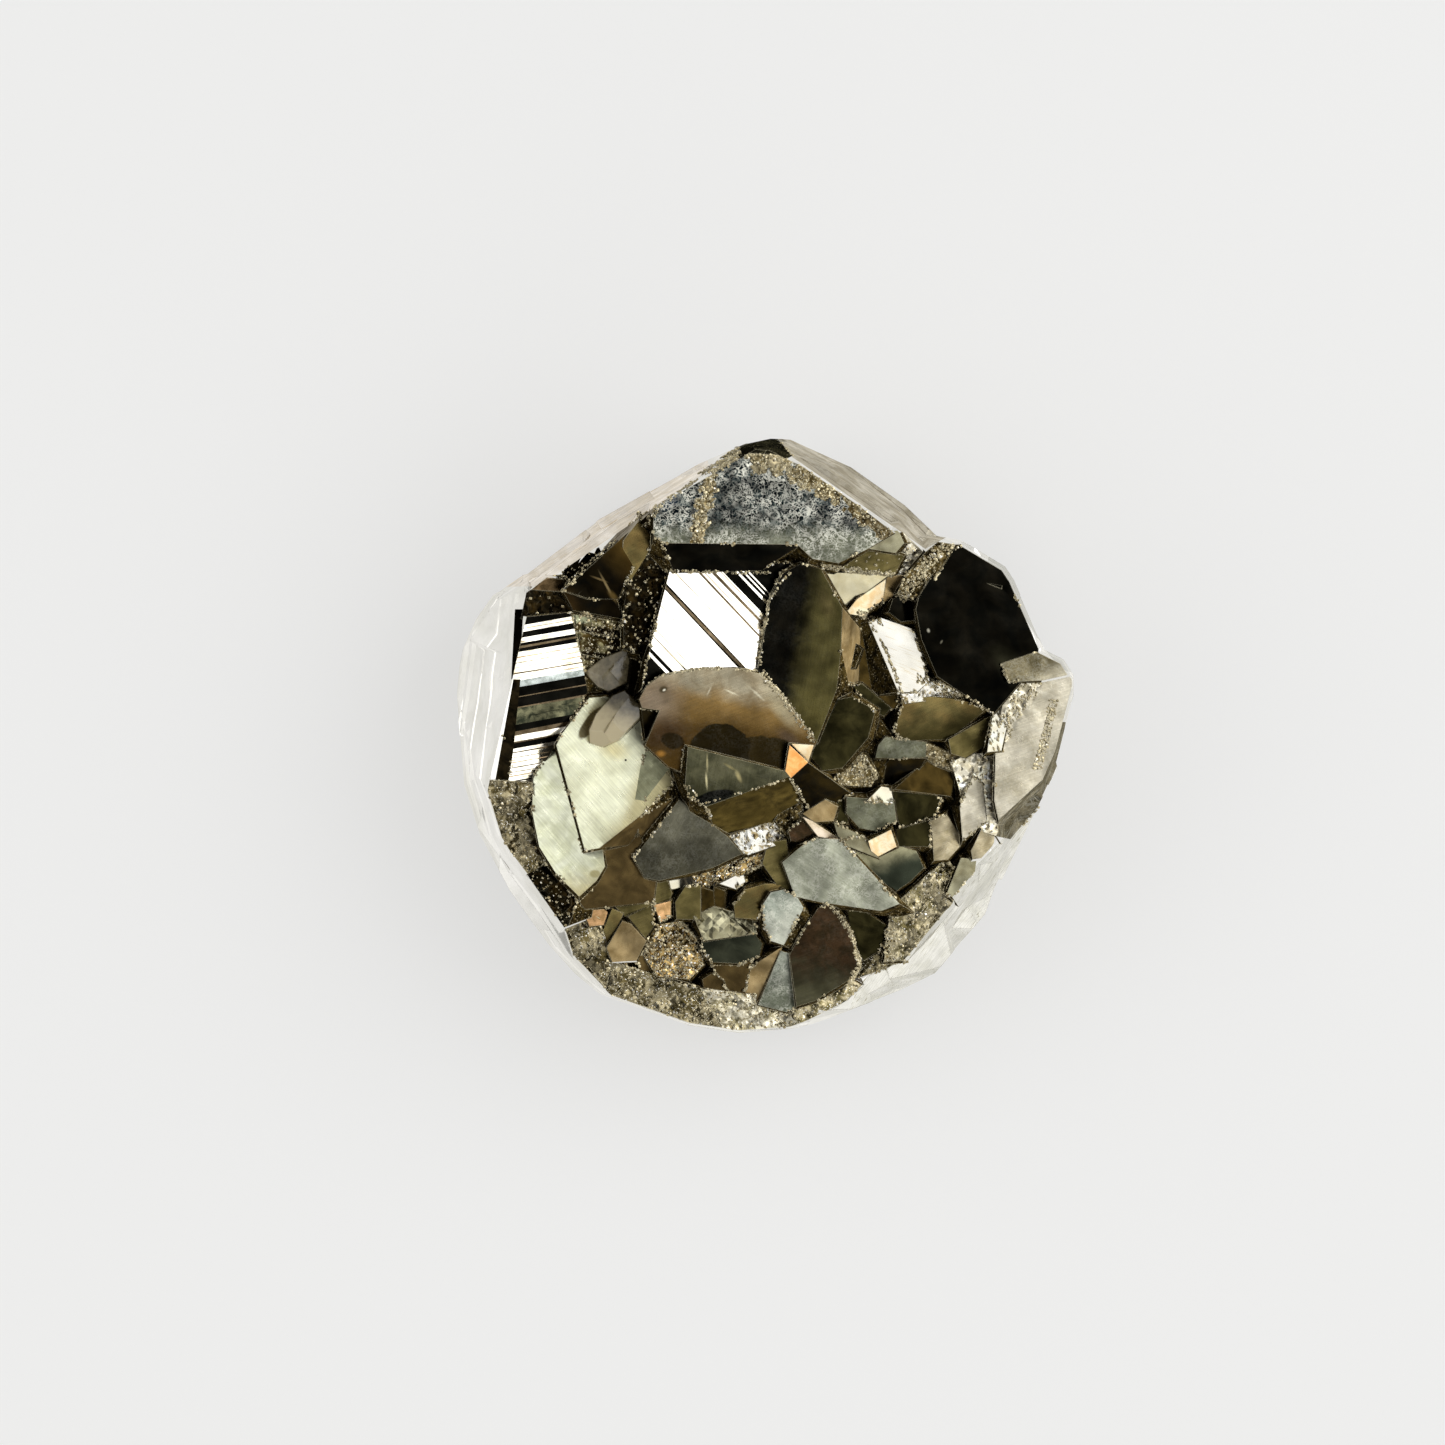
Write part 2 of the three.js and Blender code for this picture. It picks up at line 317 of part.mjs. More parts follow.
// The right slope: a crowd of middle-sized crystals that steps down from the dark column to the rim
const RIGHT_SLOPE = [
  crystal('dark column', { height: SLOPE_HEIGHT + 2.8, dip: 5, toward: 230, lean: 8 },
    [3.5, -0.7], [5.1, 2.5], [6.1, 2.7], [7.7, 1.7], [7.2, -0.2], [5.4, -2.3], [4.0, -2.5], [3.2, -1.5]),
  crystal('olive facet', { height: SLOPE_HEIGHT + 1.6, dip: 22, toward: 235, lean: 8 },
    [9.0, 0.2], [9.7, 2.5], [11.6, 2.7], [13.7, 2.5], [15.5, 1.8], [12.8, -0.3], [9.8, -0.4]),
  crystal('grey olive facet', { height: SLOPE_HEIGHT + 1.4, dip: 24, toward: 310, lean: 8 },
    [12.8, -0.3], [16.2, 1.6], [15.6, -0.6], [14.0, -1.6], [13.0, -1.3]),
  crystal('slate strip', { height: SLOPE_HEIGHT + 0.6, dip: 6, toward: 250 },
    [7.7, -1.6], [7.9, -0.7], [8.4, -0.1], [11.3, -0.5], [11.2, -1.7]),
  crystal('brown eave', { height: SLOPE_HEIGHT, dip: 30, toward: 240, lean: 8 },
    [7.9, -2.6], [8.8, -1.6], [11.3, -1.6], [10.5, -2.9], [8.4, -3.6]),
  crystal('olive furrow', { height: SLOPE_HEIGHT - 0.2, dip: 18, toward: 200, lean: 8 },
    [6.9, -2.5], [7.1, -0.5], [7.9, 1.3], [8.9, 0.0], [8.1, -3.9]),
  crystal('brown roof', { height: SLOPE_HEIGHT + 0.2, dip: 20, toward: 35, lean: 8 },
    [9.0, -3.8], [11.2, -1.8], [12.6, -1.7], [13.2, -3.2], [13.0, -4.3]),
  crystal('dark roof', { height: SLOPE_HEIGHT + 0.1, dip: 12, toward: 285, lean: 8 },
    [8.9, -3.8], [11.2, -3.8], [12.4, -4.5], [11.9, -5.7], [9.4, -6.5]),
  crystal('bright cap', { height: SLOPE_HEIGHT + 0.6, dip: 22, toward: NORTH_EAST, lean: 8 },
    [7.1, -4.6], [8.1, -3.6], [8.8, -3.7], [9.0, -4.8]),
  crystal('slate hood', { height: SLOPE_HEIGHT + 0.3, dip: 16, toward: 250, lean: 8 },
    [5.7, -4.3], [9.0, -4.6], [9.2, -6.0], [7.7, -6.7], [6.6, -6.5], [5.7, -5.5]),
  crystal('hood side', { height: SLOPE_HEIGHT - 0.4, dip: 20, toward: 190, lean: 8 },
    [4.8, -3.7], [5.8, -4.0], [5.8, -6.2], [5.0, -6.1]),
  crystal('peach prow', { height: SLOPE_HEIGHT + 0.2, dip: 28, toward: 225, lean: 8 },
    [7.2, -7.4], [8.8, -6.6], [9.2, -7.8], [7.9, -8.5], [7.4, -8.1]),
  crystal('pink blade', { height: SLOPE_HEIGHT - 0.3, dip: 24, toward: NORTH_EAST, lean: 8 },
    [4.8, -6.1], [6.9, -7.1], [7.3, -7.6], [7.9, -8.6], [5.8, -7.8], [5.1, -7.1]),
  crystal('pink sliver', { height: SLOPE_HEIGHT - 0.2, dip: 24, toward: NORTH_EAST, lean: 8 },
    [2.6, -5.7], [3.3, -6.0], [5.4, -7.4], [3.7, -7.1]),
  crystal('domed facet', { height: SLOPE_HEIGHT - 0.8, dip: 12, toward: 265, lean: 8 },
    [5.7, -7.6], [9.2, -7.7], [10.6, -8.1], [11.1, -9.3], [10.2, -10.2], [9.2, -10.9], [8.1, -10.2]),
  crystal('olive brick', { height: SLOPE_HEIGHT - 0.1, dip: 18, toward: 220, lean: 8 },
    [9.2, -6.6], [11.6, -5.9], [11.6, -7.8], [9.2, -7.8]),
  crystal('beige brick', { height: SLOPE_HEIGHT - 0.4, dip: 26, toward: 335, lean: 8 },
    [11.6, -6.0], [12.7, -5.5], [13.9, -7.5], [12.8, -8.7], [11.8, -8.8]),
  crystal('pale lath', { height: SLOPE_HEIGHT + 0.4, dip: 28, toward: 345, lean: 8 },
    [13.6, -5.0], [14.5, -2.9], [15.2, -3.3], [15.5, -6.0], [13.8, -7.4]),
  crystal('pale lath foot', { height: SLOPE_HEIGHT - 0.8, dip: 30, toward: 330, lean: 8 },
    [14.4, -8.1], [15.3, -6.2], [16.1, -6.7], [15.9, -8.5], [14.5, -8.7]),
  crystal('beige foot', { height: SLOPE_HEIGHT - 1.8, dip: 30, toward: 325, lean: 8 },
    [12.7, -11.1], [13.7, -8.6], [14.8, -8.6], [14.6, -10.4], [13.5, -11.6]),
  crystal('grey wedge', { height: SLOPE_HEIGHT + 0.1, dip: 20, toward: 200, lean: 8 },
    [2.6, -5.5], [4.2, -4.5], [5.1, -5.0], [4.8, -6.0], [3.5, -6.1]),
  crystal('maroon tooth', { height: SLOPE_HEIGHT - 0.8, dip: 24, toward: 250, lean: 8 },
    [1.6, -6.7], [2.5, -5.9], [3.4, -6.8], [2.6, -7.5], [1.8, -7.4]),
  crystal('crusty knob', { height: SLOPE_HEIGHT + 0.6, dip: 8, toward: 250, lean: 10 },
    [4.4, -3.5], [5.6, -1.8], [6.5, -1.1], [7.1, -1.5], [7.8, -2.9], [7.4, -3.6]),
  crystal('dark saddle', { height: SLOPE_HEIGHT + 0.1, dip: 14, toward: 250, lean: 8 },
    [1.5, -3.0], [3.3, -2.0], [4.0, -2.8], [3.9, -4.1], [2.6, -4.8], [1.8, -4.3]),
  crystal('low dark saddle', { height: SLOPE_HEIGHT - 1, dip: 20, toward: 200, lean: 8 },
    [1.5, -4.3], [2.7, -4.6], [2.5, -6.1], [1.4, -7.0], [0.7, -6.0]),
  crystal('sandy shelf', { height: SLOPE_HEIGHT + 0.2, dip: 14, toward: 300, lean: 8 },
    [13.0, -1.9], [14.0, -1.4], [16.2, -1.1], [16.3, -7.1], [15.3, -6.8], [13.8, -4.6]),
  crystal('sandy foot', { height: SLOPE_HEIGHT + 0.5, dip: 14, toward: 260, lean: 8 },
    [11.2, -0.5], [13.0, -1.2], [14.0, -1.6], [13.3, -2.6], [11.9, -2.1], [11.2, -1.6]),
  crystal('sandy slope', { height: SLOPE_HEIGHT - 2.4, dip: 20, toward: SOUTH_EAST },
    [8.3, -15.9], [8.8, -12.1], [11.6, -9.5], [12.8, -8.6], [13.7, -10.0], [13.1, -11.9], [11.4, -14.1],
    [9.8, -15.8]),
];

// The lower field: middle-sized and small crystals below the centre
const LOWER_FIELD = [
  crystal('grey quad', { height: FIELD_HEIGHT + 1.8, dip: 9, toward: 240, leans: { 6: 22 } },
    [-6.0, -4.5], [-2.6, -7.1], [-1.6, -8.3], [-3.7, -9.3], [-7.4, -10.2], [-8.4, -10.0], [-9.2, -8.6]),
  crystal('mauve face', { height: FIELD_HEIGHT + 0.8, dip: 14, toward: 265, lean: 8 },
    [-11.6, -7.7], [-10.7, -6.5], [-8.8, -6.9], [-7.6, -10.2], [-7.8, -11.7], [-12.6, -12.2],
    [-13.2, -11.4]),
  crystal('dark notch', { height: FIELD_HEIGHT + 1.7, dip: 30, toward: 250, lean: 8 },
    [-10.6, -6.2], [-8.8, -6.0], [-8.9, -7.1], [-10.7, -6.9]),
  crystal('bright band', { height: FIELD_HEIGHT + 0.9, dip: 22, toward: NORTH_EAST, lean: 8 },
    [-2.7, -7.1], [0.6, -6.0], [1.5, -7.1], [1.1, -7.6], [-1.2, -8.4], [-1.9, -8.1]),
  crystal('gold nugget', { height: FIELD_HEIGHT - 0.1, dip: 8, toward: 240, lean: 10 },
    [-5.1, -8.5], [-1.6, -7.8], [0.0, -7.5], [0.2, -8.9], [-1.4, -9.7], [-3.0, -10.4], [-4.6, -10.7],
    [-5.3, -9.6]),
  crystal('dark leaf', { height: FIELD_HEIGHT + 0.7, dip: 14, toward: 200, lean: 8 },
    [0.2, -7.5], [1.5, -7.3], [2.0, -11.1], [0.9, -10.6], [-0.2, -9.0]),
  crystal('pale slab', { height: FIELD_HEIGHT + 2.1, dip: 14, toward: 205, leans: { 4: 18, 5: 18 } },
    [1.2, -8.9], [2.5, -7.8], [3.4, -7.2], [5.3, -7.3], [6.5, -8.6], [9.4, -11.8], [8.1, -12.3],
    [3.9, -11.7], [2.1, -11.3]),
  crystal('slate hexagon', { height: FIELD_HEIGHT + 1.1, dip: 13, toward: 210, lean: 8, leans: { 4: 40 } },
    [-0.2, -11.9], [0.4, -11.0], [1.3, -10.8], [2.3, -11.4], [2.7, -12.1], [1.3, -14.7], [0.4, -14.4],
    [-0.1, -13.3]),
  crystal('olive lozenge', { height: FIELD_HEIGHT + 0.3, dip: 16, toward: 150, lean: 8 },
    [-2.2, -11.9], [-1.4, -10.8], [0.0, -10.4], [1.2, -10.4], [-0.6, -12.9], [-2.1, -12.8]),
  crystal('small dark facet', { height: FIELD_HEIGHT + 0.1, dip: 14, toward: 250, lean: 8 },
    [-7.9, -10.3], [-6.8, -10.2], [-6.5, -11.1], [-6.8, -11.8], [-7.8, -11.8]),
  crystal('peach chip', { height: FIELD_HEIGHT, dip: 30, toward: SOUTH_WEST, lean: 8 },
    [-7.8, -11.9], [-6.6, -11.6], [-6.6, -12.6], [-7.3, -13.1]),
  crystal('olive block', { height: FIELD_HEIGHT + 0.2, dip: 14, toward: 200, lean: 8 },
    [-6.3, -11.7], [-5.6, -10.6], [-4.5, -10.5], [-4.5, -12.9], [-6.2, -12.9]),
  crystal('brown block', { height: FIELD_HEIGHT, dip: 18, toward: 330, lean: 8 },
    [-4.6, -10.6], [-3.6, -10.9], [-3.5, -12.4], [-4.4, -12.7]),
  crystal('dark block', { height: FIELD_HEIGHT - 0.2, dip: 14, toward: 265, lean: 8 },
    [-3.6, -10.6], [-2.8, -10.9], [-2.8, -12.4], [-3.5, -12.5]),
  crystal('left sparkling chip', { height: FIELD_HEIGHT - 0.3, dip: 22, toward: NORTH_EAST, lean: 8 },
    [-7.5, -10.2], [-5.3, -8.8], [-4.8, -10.4], [-6.5, -10.8]),
  crystal('right sparkling chip', { height: FIELD_HEIGHT, dip: 22, toward: NORTH_EAST, lean: 8 },
    [-3.2, -10.4], [-1.6, -9.6], [-1.3, -10.2], [-2.0, -10.8]),
  crystal('pale fringe', { height: FIELD_HEIGHT + 0.1, dip: 14, toward: NORTH_EAST, lean: 8 },
    [-5.0, -12.7], [-3.6, -12.0], [-0.6, -12.8], [-0.6, -13.9], [-4.3, -14.4]),
  crystal('slate tablet', { height: FIELD_HEIGHT - 0.1, dip: 6, toward: SOUTH, lean: 10 },
    [-4.5, -14.9], [-4.4, -14.2], [-4.0, -13.8], [-0.8, -13.8], [-0.2, -14.6], [-0.4, -15.5],
    [-1.9, -16.0], [-3.7, -15.9]),
  crystal('tan facet', { height: FIELD_HEIGHT - 0.9, dip: 26, toward: SOUTH_WEST, lean: 8 },
    [-0.5, -15.9], [1.2, -14.8], [0.9, -16.2], [-0.2, -18.6], [-1.5, -18.7], [-2.2, -17.5]),
  crystal('pale wedge', { height: FIELD_HEIGHT - 0.5, dip: 20, toward: 250, lean: 8 },
    [1.1, -15.1], [1.8, -15.3], [2.2, -19.0], [1.5, -19.4], [-0.5, -18.9]),
  crystal('maroon face', { height: FIELD_HEIGHT + 0.3, dip: 12, toward: 300, lean: 8, leans: { 0: 12 } },
    [1.7, -15.4], [2.5, -13.9], [3.7, -12.1], [4.6, -11.8], [5.5, -12.8], [6.4, -15.3], [6.6, -16.3],
    [5.8, -17.2], [3.5, -18.6], [2.2, -19.0]),
  crystal('olive sliver', { height: FIELD_HEIGHT - 0.5, dip: 22, toward: 230, lean: 8 },
    [5.7, -11.9], [6.9, -12.3], [8.5, -13.3], [8.4, -14.4], [7.9, -15.2], [6.9, -15.8], [6.2, -14.7]),
  crystal('mauve chip', { height: FIELD_HEIGHT - 1.2, dip: 12, toward: 260, lean: 8 },
    [-4.4, -17.1], [-3.6, -16.6], [-2.9, -17.2], [-2.5, -18.4], [-4.3, -17.7]),
  crystal('dark apron', { height: FIELD_HEIGHT - 1.3, dip: 20, toward: 240, lean: 8 },
    [-3.9, -15.8], [-0.9, -15.8], [-1.6, -18.7], [-2.6, -18.4]),
  crystal('taupe facet', { height: FIELD_HEIGHT - 0.2, dip: 12, toward: SOUTH_WEST, lean: 8 },
    [-11.1, -14.9], [-10.0, -13.0], [-9.4, -13.2], [-8.3, -14.4], [-9.0, -15.8], [-10.7, -15.9]),
  crystal('brown rib', { height: FIELD_HEIGHT - 0.6, dip: 28, toward: 190, lean: 8 },
    [-11.8, -14.8], [-10.7, -12.1], [-9.9, -12.5], [-11.0, -14.8]),
  crystal('taupe wing', { height: FIELD_HEIGHT - 1, dip: 22, toward: 300, lean: 8 },
    [-9.0, -15.8], [-8.3, -14.5], [-7.7, -16.3], [-8.5, -17.2]),
  crystal('olive chip', { height: FIELD_HEIGHT - 0.2, dip: 20, toward: SOUTH, lean: 8 },
    [-10.6, -11.9], [-7.9, -11.7], [-8.7, -12.7], [-9.8, -12.7]),
  crystal('grey brown chip', { height: FIELD_HEIGHT - 0.3, dip: 18, toward: 320, lean: 8 },
    [-9.6, -12.7], [-7.9, -11.8], [-7.8, -13.4], [-8.4, -14.2]),
  crystal('copper chip', { height: FIELD_HEIGHT - 0.4, dip: 28, toward: NORTH_EAST, lean: 8 },
    [-12.7, -12.4], [-11.7, -11.9], [-11.0, -12.4], [-11.3, -13.3], [-12.3, -13.4]),
  crystal('sparkling patch', { height: FIELD_HEIGHT - 0.8, dip: 8, toward: NORTH_EAST, lean: 10 },
    [-8.3, -14.4], [-7.6, -13.3], [-5.8, -13.0], [-4.6, -14.4], [-4.3, -16.1], [-5.3, -17.1],
    [-7.6, -16.9], [-8.5, -15.4]),
];

// The front rim: a lumpy border that the field ends at
const FRONT_RIM = [
  crystal('left front rim', { height: RIM_HEIGHT + 0.4, dip: 20, toward: 218, lean: 3 },
    [-14.1, -13.3], [-13.3, -11.8], [-11.6, -12.8], [-10.7, -15.9], [-11.3, -18.3], [-12.4, -17.7],
    [-13.2, -16.1]),
  crystal('middle front rim', { height: RIM_HEIGHT - 0.1, dip: 18, toward: 255, lean: 3 },
    [-11.6, -18.1], [-11.0, -15.8], [-4.6, -17.6], [-2.9, -20.8], [-5.3, -20.4], [-8.8, -19.3]),
  crystal('front rim', { height: RIM_HEIGHT - 0.4, dip: 22, toward: SOUTH, lean: 3 },
    [-5.3, -17.6], [2.5, -18.6], [2.5, -20.6], [-1.8, -20.9], [-5.3, -20.4]),
  crystal('right front rim', { height: RIM_HEIGHT - 0.1, dip: 22, toward: 300, lean: 3 },
    [1.8, -18.9], [5.8, -17.0], [6.8, -17.5], [5.7, -18.6], [2.5, -20.6]),
  crystal('low right rim', { height: RIM_HEIGHT, dip: 22, toward: 300, lean: 3 },
    [6.0, -17.2], [5.9, -15.6], [8.3, -15.1], [9.8, -15.6], [8.6, -16.3]),
];

// Crystals that stand out of the walls, low and high, and of the belly, as [angle, radius, level, size].
// Every third one is an octahedron and the rest are cubes, each turned on from the last by the same step.
const WALL_CRYSTALS = [
  [148, 17.4, 10.2, 5.6], [172, 18.2, 9.4, 6.2], [192, 17.6, 9.0, 5.2], [214, 17.8, 8.6, 6.4],
  [236, 17.6, 7.6, 5.0], [262, 18.4, 6.8, 5.8], [292, 18.2, 7.0, 5.2], [318, 17.2, 8.4, 6.2],
  [338, 17.0, 9.2, 5.0], [2, 18.4, 8.6, 6.4], [30, 18.6, 8.2, 5.4], [58, 17.4, 7.6, 6.6],
  [84, 17.8, 8.4, 5.8], [108, 17.6, 7.4, 6.2], [128, 17.0, 7.0, 5.2],
];
const HIGH_CRYSTALS = [
  [72, 17.4, 8.2, 4.4], [100, 18.0, 13.2, 5.0], [122, 17.2, 15.2, 4.2], [141, 18.2, 13.0, 4.6],
  [50, 16.8, 7.4, 5.2], [36, 19.0, 13.4, 4.0], [12, 18.6, 13.6, 4.8], [346, 17.8, 12.2, 4.4],
  [158, 18.4, 12.6, 4.2], [200, 17.6, 11.8, 4.6], [250, 18.0, 10.8, 4.4], [284, 18.6, 10.6, 4.2],
  [306, 18.2, 11.0, 4.6],
];
const BELLY_CRYSTALS = [
  [14, 14.4, 5.0, 6.4], [52, 14.0, 4.6, 5.4], [96, 14.6, 4.8, 6.6], [140, 13.8, 4.8, 6.0],
  [182, 14.6, 4.8, 6.2], [226, 14.2, 4.6, 5.6], [276, 14.4, 4.4, 6.4], [324, 14.2, 4.8, 6.0],
  [34, 10.6, 3.2, 4.6], [120, 10.4, 3.2, 5.2], [206, 10.8, 3.2, 4.8], [300, 10.2, 3.2, 5.2],
];
const TURN_STEP = 137.5;
const TIP_STEP = 96.25;
const OCTAHEDRON_REACH = 0.72;
const HABIT_CYCLE = 3;

function outerCrystal([angle, radius, level, size], index) {
  const habit = index % HABIT_CYCLE === 1
    ? new THREE.OctahedronGeometry(size * OCTAHEDRON_REACH)
    : new THREE.BoxGeometry(size, size, size);
  habit.rotateX(radians(TURN_STEP * index));
  habit.rotateY(radians(TIP_STEP * index));
  habit.rotateZ(radians(angle));
  habit.translate(Math.cos(radians(angle)) * radius, Math.sin(radians(angle)) * radius, level);
  return solidOf(habit);
}

// An upright prism on a lobe's widest outline. It keeps the outer crystals inside that outline.
function plumb(girdle) {
  const outline = new THREE.Shape(girdle.map(([x, y]) => new THREE.Vector2(x, y)));
  return solidOf(new THREE.ExtrudeGeometry(outline, { depth: PLUMB_HEIGHT, bevelEnabled: false }));
}

function within(bounds, crystals) {
  return crystals.map(({ solid }) => solid.intersect(bounds.walls));
}

const CRYSTALS = [
  ...within(MAIN_LOBE, [...CROWN, ...SHOULDER, ...LEDGES, ...PALE_FACES, ...CENTRE]),
  ...within(MAIN_LOBE, [...RIGHT_GULLY, ...RIGHT_SLOPE, ...LOWER_FIELD, ...FRONT_RIM]),
  ...within(LEFT_LOBE, LEFT_BANK),
  ...within(RIGHT_LOBE, RIGHT_CORNER),
  ...within(FLANK_LOBE, RIGHT_FLANK),
];
const OUTER = [...WALL_CRYSTALS, ...HIGH_CRYSTALS, ...BELLY_CRYSTALS].map(outerCrystal);

// Two small quartz crystals lie in the gully on the left, clear of the pyrite by the gap all round. Each
// has a long ridge and a slanting tip.
const UPPER_QUARTZ = {
  height: 19, dip: 14, toward: 310, lean: 4, root: 16,
  bevels: [
    { point: [-10.9, 4.5, 19.1], dip: 32, toward: 135 },
    { point: [-11.7, 4.2, 18.8], dip: 38, toward: 205 },
  ],
};
const LOWER_QUARTZ = {
  height: 19.4, dip: 12, toward: 320, lean: 4, root: 17,
  bevels: [
    { point: [-10.6, 1.0, 19.5], dip: 30, toward: 145 },
    { point: [-11.5, 0.2, 19.2], dip: 36, toward: 228 },
  ],
};
const QUARTZ_CRYSTALS = [
  crystal('quartz_crystal_upper', UPPER_QUARTZ,
    [-12.4, 4.4], [-11.3, 5.2], [-9.8, 5.9], [-9.6, 5.1], [-9.8, 3.75], [-10.9, 3.2], [-11.6, 3.5]),
  crystal('quartz_crystal_lower', LOWER_QUARTZ,
    [-10.6, 2.6], [-9.9, 2.95], [-8.9, 2.0], [-8.9, 1.2], [-10.3, -0.2], [-11.3, -0.65], [-12.1, -0.4],
    [-12.1, 0.4], [-11.6, 1.4]),
];

function pocketOf({ name, shape, outline }) {
  return crystal(name, { ...shape, grow: QUARTZ_GAP }, ...outline).solid;
}

// Joins solids into one, and closes up the slivers left where faces all but meet
function joined(solids) {
  return solids.reduce((sum, solid) => sum.add(solid)).simplify(SLIVER);
}

function named(name, solid, material) {
  const mesh = new THREE.Mesh(geometryOf(solid), material);
  mesh.name = name;
  return mesh;
}

const LOBES = [MAIN_LOBE, LEFT_LOBE, RIGHT_LOBE, FLANK_LOBE];
const PLUMB = joined(LOBES.map(({ girdle }) => plumb(girdle)));
const BODIES = LOBES.map(({ body }) => body);
const GROWN = joined([...BODIES, ...CRYSTALS, joined(OUTER).intersect(PLUMB)]);
const PYRITE_CLUSTER = GROWN.subtract(joined(QUARTZ_CRYSTALS.map(pocketOf))).simplify(SLIVER);

const cluster = new THREE.Group();
cluster.add(named('pyrite_cluster', PYRITE_CLUSTER, PYRITE));
QUARTZ_CRYSTALS.forEach(({ name, solid }) => cluster.add(named(name, solid, QUARTZ)));
export default cluster;
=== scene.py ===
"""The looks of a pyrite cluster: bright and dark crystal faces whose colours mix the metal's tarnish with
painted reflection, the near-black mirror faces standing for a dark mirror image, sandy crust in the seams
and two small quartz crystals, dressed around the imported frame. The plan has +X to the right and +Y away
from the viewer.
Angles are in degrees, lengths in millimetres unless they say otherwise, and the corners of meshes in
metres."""
import logging
import math
import random
from collections.abc import Iterable, Sequence
from dataclasses import dataclass, field, replace
from enum import Enum, IntEnum

import bmesh
import bpy
from bmesh.types import BMFace, BMLayerItem, BMesh, BMVert
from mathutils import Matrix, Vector, noise
from mathutils.bvhtree import BVHTree


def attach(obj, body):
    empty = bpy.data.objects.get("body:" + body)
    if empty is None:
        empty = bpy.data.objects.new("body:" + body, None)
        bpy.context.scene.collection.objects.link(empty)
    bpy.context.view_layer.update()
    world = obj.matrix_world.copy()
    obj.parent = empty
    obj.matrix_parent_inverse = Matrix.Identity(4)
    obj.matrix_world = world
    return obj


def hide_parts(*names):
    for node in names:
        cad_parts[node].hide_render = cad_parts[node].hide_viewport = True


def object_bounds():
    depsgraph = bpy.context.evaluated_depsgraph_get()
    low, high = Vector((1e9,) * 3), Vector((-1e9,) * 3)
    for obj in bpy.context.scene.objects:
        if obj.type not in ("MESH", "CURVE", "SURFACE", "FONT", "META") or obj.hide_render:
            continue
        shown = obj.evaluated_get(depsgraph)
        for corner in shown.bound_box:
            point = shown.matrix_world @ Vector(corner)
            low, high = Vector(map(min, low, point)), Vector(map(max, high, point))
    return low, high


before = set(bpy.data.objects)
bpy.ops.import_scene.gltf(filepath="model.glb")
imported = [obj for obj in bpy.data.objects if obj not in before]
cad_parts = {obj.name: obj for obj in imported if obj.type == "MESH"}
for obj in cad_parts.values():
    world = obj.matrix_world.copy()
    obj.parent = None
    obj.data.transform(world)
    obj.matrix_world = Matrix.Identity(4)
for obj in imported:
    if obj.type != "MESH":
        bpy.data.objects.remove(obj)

Plan = tuple[float, float]
Span = tuple[float, float]
Colour = tuple[int, int, int]
Socket = bpy.types.NodeSocket

LOG = logging.getLogger("pyrite_cluster")
CAD_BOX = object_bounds()
BODY = "root"
MM = 0.001
# A level above the whole cluster, and a distance from its middle outside it, in millimetres
SKY = 60
OUTSIDE = 50
# Corners closer than this are one, and corners closer than this to a cut lie on it, in metres
TOUCHING = 1e-6
ON_CUT = 1e-7
UP = Vector((0, 0, 1))
DOWN = Vector((0, 0, -1))

# The part of a cloud's range that is read as 0 to 1
CLOUDS = (0.2, 0.8)
# How far that stirs a fade's front, as a share of its way, and a mark's edge, as a share of its reach
FADE_STIR, MARK_STIR = 0.15, 0.12
# The level of a cloud that patches spread from, and how much further down it goes as they spread
PATCH_LEVEL, PATCH_SPREAD = 0.62, 0.24
# The same for flecks, and how soft their edges are
FLECK_LEVEL, FLECK_SPREAD, FLECK_EDGE = 0.66, 0.3, 0.06
# The levels of the streaks that thin lines begin at and are full at, and how much they cover
LINE_LEVELS, LINE_COVER = (0.58, 0.66), 0.8
# The levels of the streaks between which brushed faces go from darker to brighter, and how far
BRUSH_LEVELS, BRUSH_RANGE = (0.35, 0.7), (0.93, 1.16)
# The levels of a cloud between which brightness and dullness change across a face
CHANGE_LEVELS = (0.3, 0.7)
# How far that makes a face smoother or duller
DULL_RANGE = (0.7, 1.35)
# How far apart in a noise the facets of two neighbouring numbers are, in millimetres
FACET_SHIFT = 7.31
# How far scratches and streaks are drawn out, along them, across them and upwards
DRAWN_OUT = (2.4, 0.09, 0.5)
# The size and stirring of each layer of short curved scratches, and how far apart in their noise they are
SCRATCH_LAYERS, LAYER_SHIFT = ((0.8, 1.6), (0.5, 1.2), (0.36, 0.8)), Vector((31, 0, 17))
# How far off the middle of that noise a scratch begins to fade, and where it ends
SCRATCH_WIDTH = (0.01, 0.04)
# The levels of a cloud between which scratches go from faint to strong, and how far
BROKEN_LEVELS, BROKEN_RANGE = (0.36, 0.6), (0.15, 1.0)
# How wide the paler convex edges are, partly wear and partly a painted highlight, in millimetres, and how
# bent the surface is where they begin and are full
WEAR_AND_HIGHLIGHT_WIDTH, WEAR_AND_HIGHLIGHT_BEND = 0.08, (0.995, 0.86)
# How deep and wide the faces' gentle waves are, in millimetres
WAVE_DEPTH, WAVE_SIZE = 0.07, 2.6
# How many pits and how many granules there are along a millimetre
PITS, GRANULES = 2.6, 4.5
# How far from its middle a pit begins to rise and is level, as a share of the space between pits
PIT_EDGE = (0.05, 0.4)
# A reach that is further than anything goes
ENDLESS = 1e4


def rgba(colour: Colour) -> tuple[float, float, float, float]:
    """The share of light that a colour throws back, from how it looks on a screen, 0 to 255."""
    shares = (channel / 255 for channel in colour)
    return (*(((share + 0.055) / 1.055) ** 2.4 if share > 0.04 else share / 12.92 for share in shares), 1.0)


def heading(degrees: float, rise: float = 0.0) -> Vector:
    """The unit vector at that many degrees from +X towards +Y, raised by `rise` degrees."""
    turn, lift = math.radians(degrees), math.radians(rise)
    return Vector((math.cos(turn) * math.cos(lift), math.sin(turn) * math.cos(lift), math.sin(lift)))


